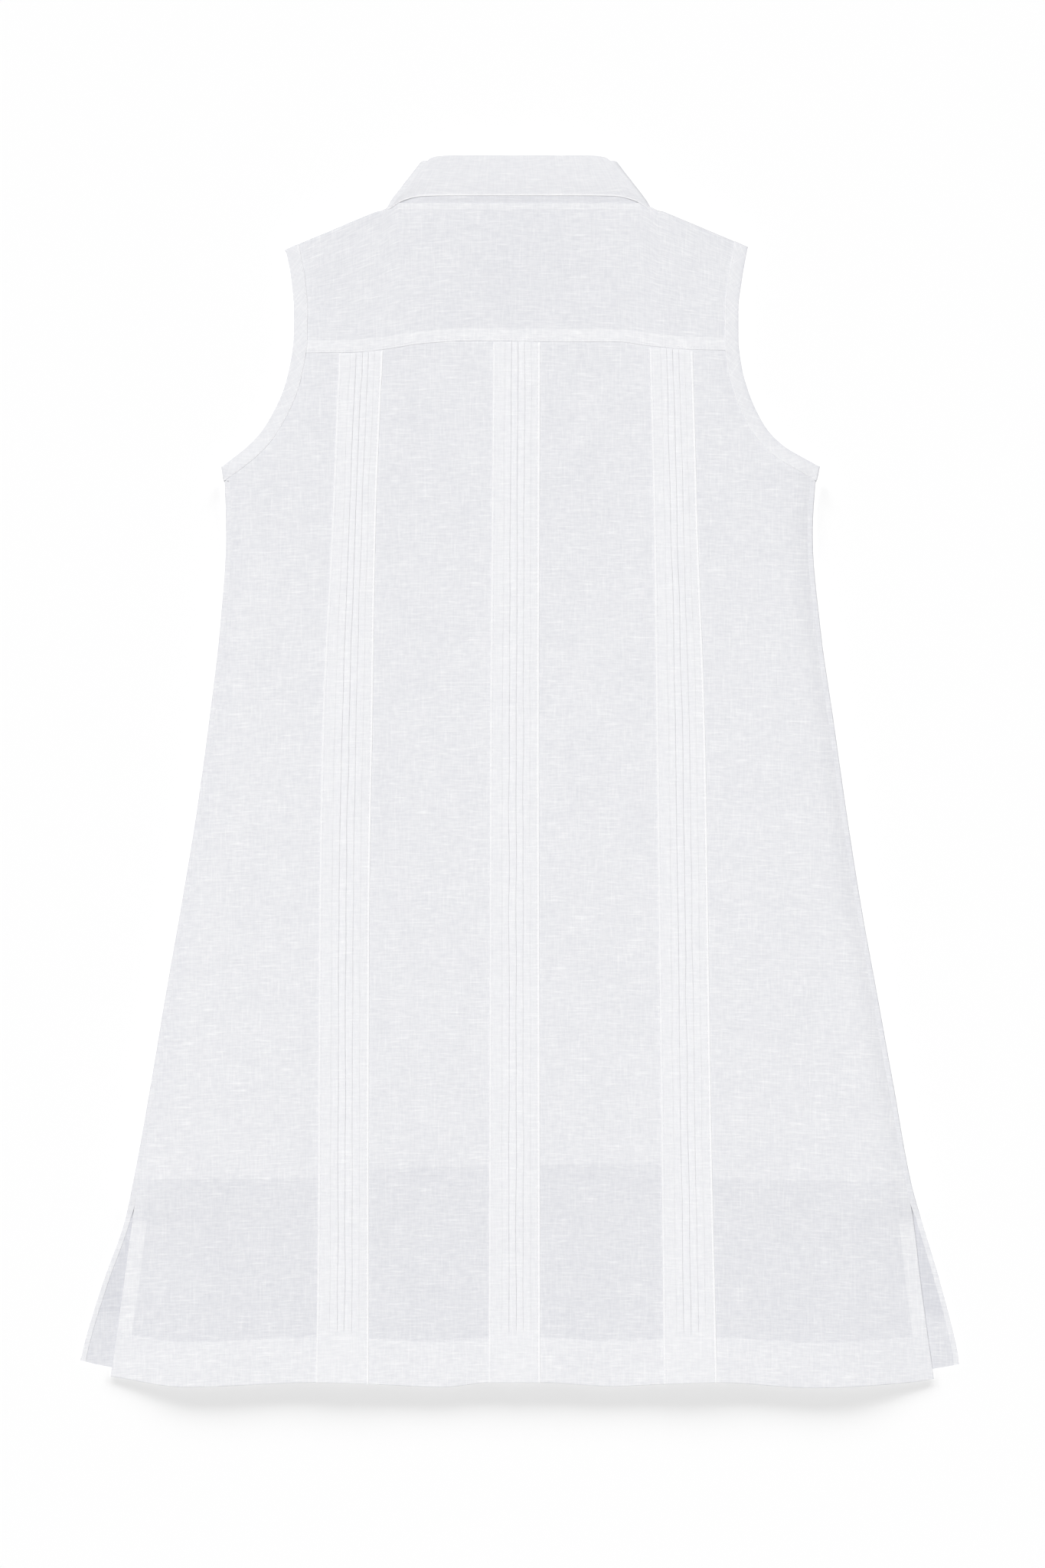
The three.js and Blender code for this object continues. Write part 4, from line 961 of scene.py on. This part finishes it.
def threads(tree, weave, scale, seed, low, high, detail):
    """Uneven threads: a field stretched along them, from 0 to 1 between two of its levels."""
    placed = add_node(tree, "ShaderNodeMapping", {}, {
        "Vector": weave, "Scale": (*scale, 1), "Location": (seed, 0.7 * seed, 0)})
    field = add_node(tree, "ShaderNodeTexNoise", {"noise_dimensions": "2D"}, {
        "Vector": placed.outputs["Vector"], "Scale": 1.0, "Detail": detail, "Roughness": 0.55})
    return add_node(tree, "ShaderNodeMapRange", {}, {
        "Value": field.outputs[0], "From Min": low, "From Max": high}).outputs["Result"]


def worked(tree, operation, *values):
    made = add_node(tree, "ShaderNodeMath", {"operation": operation}, dict(enumerate(values)))
    return made.outputs["Value"]


# The linen's uneven fields: scale across and down, seed, lowest and highest level, detail, weight
LINEN_FIELDS = {
    "slub": ((48, 720), 3.1, (0.58, 0.78), 1.0, 0.23),
    "thick": ((130, 640), 8.3, (0.2, 0.8), 1.0, 0.22),
    "warp slub": ((680, 42), 14.9, (0.58, 0.8), 1.0, 0.14),
    "warp": ((620, 110), 21.7, (0.2, 0.8), 1.0, 0.17),
    "cloud": ((24, 42), 31.3, (0.2, 0.8), 3.0, 0.1),
    "patch": ((90, 260), 41.3, (0.2, 0.8), 2.0, 0.08),
}
LINEN_MEAN = 0.31


def washed_linen(name, strength=1.0):
    """Washed white linen: matt, a little sheer, with thick slubs in its weft and fainter ones in its
    warp. Its threads, 0.4 mm apart, are drawn about 1.5 mm apart, as the finer ones can't be seen."""
    material, tree, shader = new_material(name, 0.92, 0.12)
    weave = add_node(tree, "ShaderNodeUVMap", {"uv_map": "weave"}).outputs["UV"]
    tone = add_node(tree, "ShaderNodeAttribute", {"attribute_name": "tone"}).outputs["Fac"]
    fields, total = {}, tone
    for part, (scale, seed, levels, detail, weight) in LINEN_FIELDS.items():
        fields[part] = threads(tree, weave, scale, seed, *levels, detail)
        total = worked(tree, "MULTIPLY_ADD", fields[part], weight * strength, total)
    middle = worked(tree, "SUBTRACT", total, LINEN_MEAN * strength)
    shade = add_node(tree, "ShaderNodeMix", {"data_type": "RGBA"}, {
        "Factor": middle, 6: colour(*THIN, LIGHT_SHARE), 7: colour(*DENSE, LIGHT_SHARE)})
    height = worked(tree, "ADD", fields["thick"], fields["warp"])
    height = worked(tree, "MULTIPLY_ADD", fields["slub"], 1.2, height)
    bump = add_node(tree, "ShaderNodeBump", {}, {
        "Height": height, "Distance": 0.00008, "Strength": 0.6})
    tree.links.new(shade.outputs[2], shader.inputs["Base Color"])
    tree.links.new(bump.outputs["Normal"], shader.inputs["Normal"])
    return material


def plain(name, shade, roughness, specular):
    material, _, shader = new_material(name, roughness, specular)
    shader.inputs["Base Color"].default_value = shade
    return material


def pearl_shell():
    """Polished pearl shell: creamy white, glossy, with soft darker clouds in it."""
    material, tree, shader = new_material("polished pearl shell", 0.22)
    place = add_node(tree, "ShaderNodeTexCoord").outputs["Object"]
    cloud = add_node(tree, "ShaderNodeTexNoise", {}, {"Vector": place, "Scale": 260.0, "Detail": 2.0})
    shade = add_node(tree, "ShaderNodeMix", {"data_type": "RGBA"}, {
        "Factor": cloud.outputs[0], 6: colour(214, 210, 200), 7: colour(246, 243, 236)})
    tree.links.new(shade.outputs[2], shader.inputs["Base Color"])
    shader.inputs["Coat Weight"].default_value = 0.4
    return material


# How much of the light that the floor sends back comes back from the same tone of cloth
LIGHT_SHARE = 0.95

linen = washed_linen("washed slub linen")
doubled_linen = washed_linen("washed slub linen, doubled", 0.75)
voile = plain("cotton voile", colour(242, 242, 243), 0.9, 0.1)
thread = plain("white sewing thread", colour(243, 243, 246, 0.95), 0.8, 0.1)
pearl = pearl_shell()


def put(obj, material, slot, *nodes):
    obj.data.materials.clear()
    obj.data.materials.append(material)
    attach(obj, "root")
    if nodes:
        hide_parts(*nodes)
    return obj


def sewn(name, lines):
    return put(stitches(name, lines), thread, "linen_doubled")


# The dress
corners = [(x, y, -0.0003) for x, y in ((-4, -4), (4, -4), (4, 4), (-4, 4))]
floor = placed("floor", new_mesh("floor", corners, [(0, 1, 2, 3)]))
floor.data.materials.append(plain("matt white paper", (0.95, 0.95, 0.95, 1), 0.9, 0.0))

back, back_seams = back_panel()
put(back, linen, "linen", "back_panel")
lining = put(lining_panel(), voile, "lining", "lining_back")
front_left, front_right = (put(front_panel(side), linen, "linen", f"front_{side}")
                           for side in ("left", "right"))
yoke_piece, yoke_seams = yoke()
put(yoke_piece, linen, "linen", "yoke")
fall, stand, collar_seams = collar()
put(fall, doubled_linen, "linen_doubled", "collar_fall")
put(stand, doubled_linen, "linen_doubled", "collar_stand")
outer_band = put(placket("placket_outer_cloth", 0, BUTTON_YS), doubled_linen, "linen_doubled",
                 "placket_outer")
under_band = put(placket("placket_under_cloth", CLOTH + GAP, []), doubled_linen, "linen_doubled",
                 "placket_under")

back_stitches = sewn("back_stitches", back_seams)
yoke_stitches = sewn("yoke_stitches", yoke_seams)
collar_stitches = sewn("collar_stitches", collar_seams)

bands = []
for number, side in enumerate(BANDS):
    band, seams = tuck_band(side, 100 * (number + 1))
    put(band, doubled_linen, "linen_doubled", f"tuck_band_{side}")
    sewing = sewn(f"tuck_band_{side}_stitches", seams)
    bands.append(band)

for number, side in enumerate(("left", "right")):
    bound, seams = binding(side, 70 + number)
    put(bound, doubled_linen, "linen_doubled", f"armhole_binding_{side}")
    sewing = sewn(f"binding_{side}_stitches", seams)

shell_mesh = button_mesh()
for number, place in enumerate(BUTTON_YS):
    button = placed(f"shell_button_{number + 1}", shell_mesh)
    button.location = (0, place * MM, 0)
    put(button, pearl, "button_shell", f"button_{number + 1}")

# Light and camera
scene = bpy.context.scene
scene.view_settings.view_transform = "Standard"
scene.view_settings.look = "None"
world = bpy.data.worlds.new("white room")
world.use_nodes = True
background = world.node_tree.nodes["Background"]
background.inputs["Color"].default_value = (1, 1, 1, 1)
background.inputs["Strength"].default_value = 0.04
scene.world = world


def group(name, members):
    made = bpy.data.collections.new(name)
    for obj in members:
        made.objects.link(obj)
    return made


def sun(name, towards, strength, width, lit, shaded_by=None):
    """Light from one side of the sky, in a cone this wide in degrees. As in the photo, where the dress
    and the paper under it are lit apart, each light falls on one of the two."""
    data = bpy.data.lights.new(name, "SUN")
    data.energy = strength
    data.angle = math.radians(width)
    obj = placed(name, data)
    obj.rotation_mode = "QUATERNION"
    obj.rotation_quaternion = Vector(towards).to_track_quat("-Z", "Y")
    obj.light_linking.receiver_collection = lit
    if shaded_by:
        obj.light_linking.blocker_collection = shaded_by


paper = group("paper", [floor])
dress = group("dress", [obj for obj in scene.objects if obj.type == "MESH" and obj != floor])
hem = group("hem", [back, *bands])
sun("sky over the dress", (0, 0, -1), 0.86, 150, dress)
sun("light over the dress", (0.12, -0.1, -1), 1.538, 60, dress)
sun("light from the right", (-0.8, 0.15, -0.58), 0.28, 50, dress)
sun("window at the upper left", (0.5, -0.42, -0.76), 0.85, 20, dress)
sun("light over the paper", (0, 0, -1), 2.375, 3, paper)
# Three low lights draw the soft shadow below the hem
LOW_LIGHT_SLOPE = 0.2
for number, degrees in enumerate((-32, 0, 32)):
    turn = math.radians(degrees)
    towards = (math.sin(turn), -math.cos(turn), -LOW_LIGHT_SLOPE)
    sun(f"light from beyond the collar {number + 1}", towards, 1.338, 12, paper, hem)

camera_data = bpy.data.cameras.new("camera")
camera_data.lens = 85
camera_data.sensor_width = 36
camera = placed("camera", camera_data)
camera.location = (2.1 * MM, -9.6 * MM, 2906 * MM)
scene.camera = camera
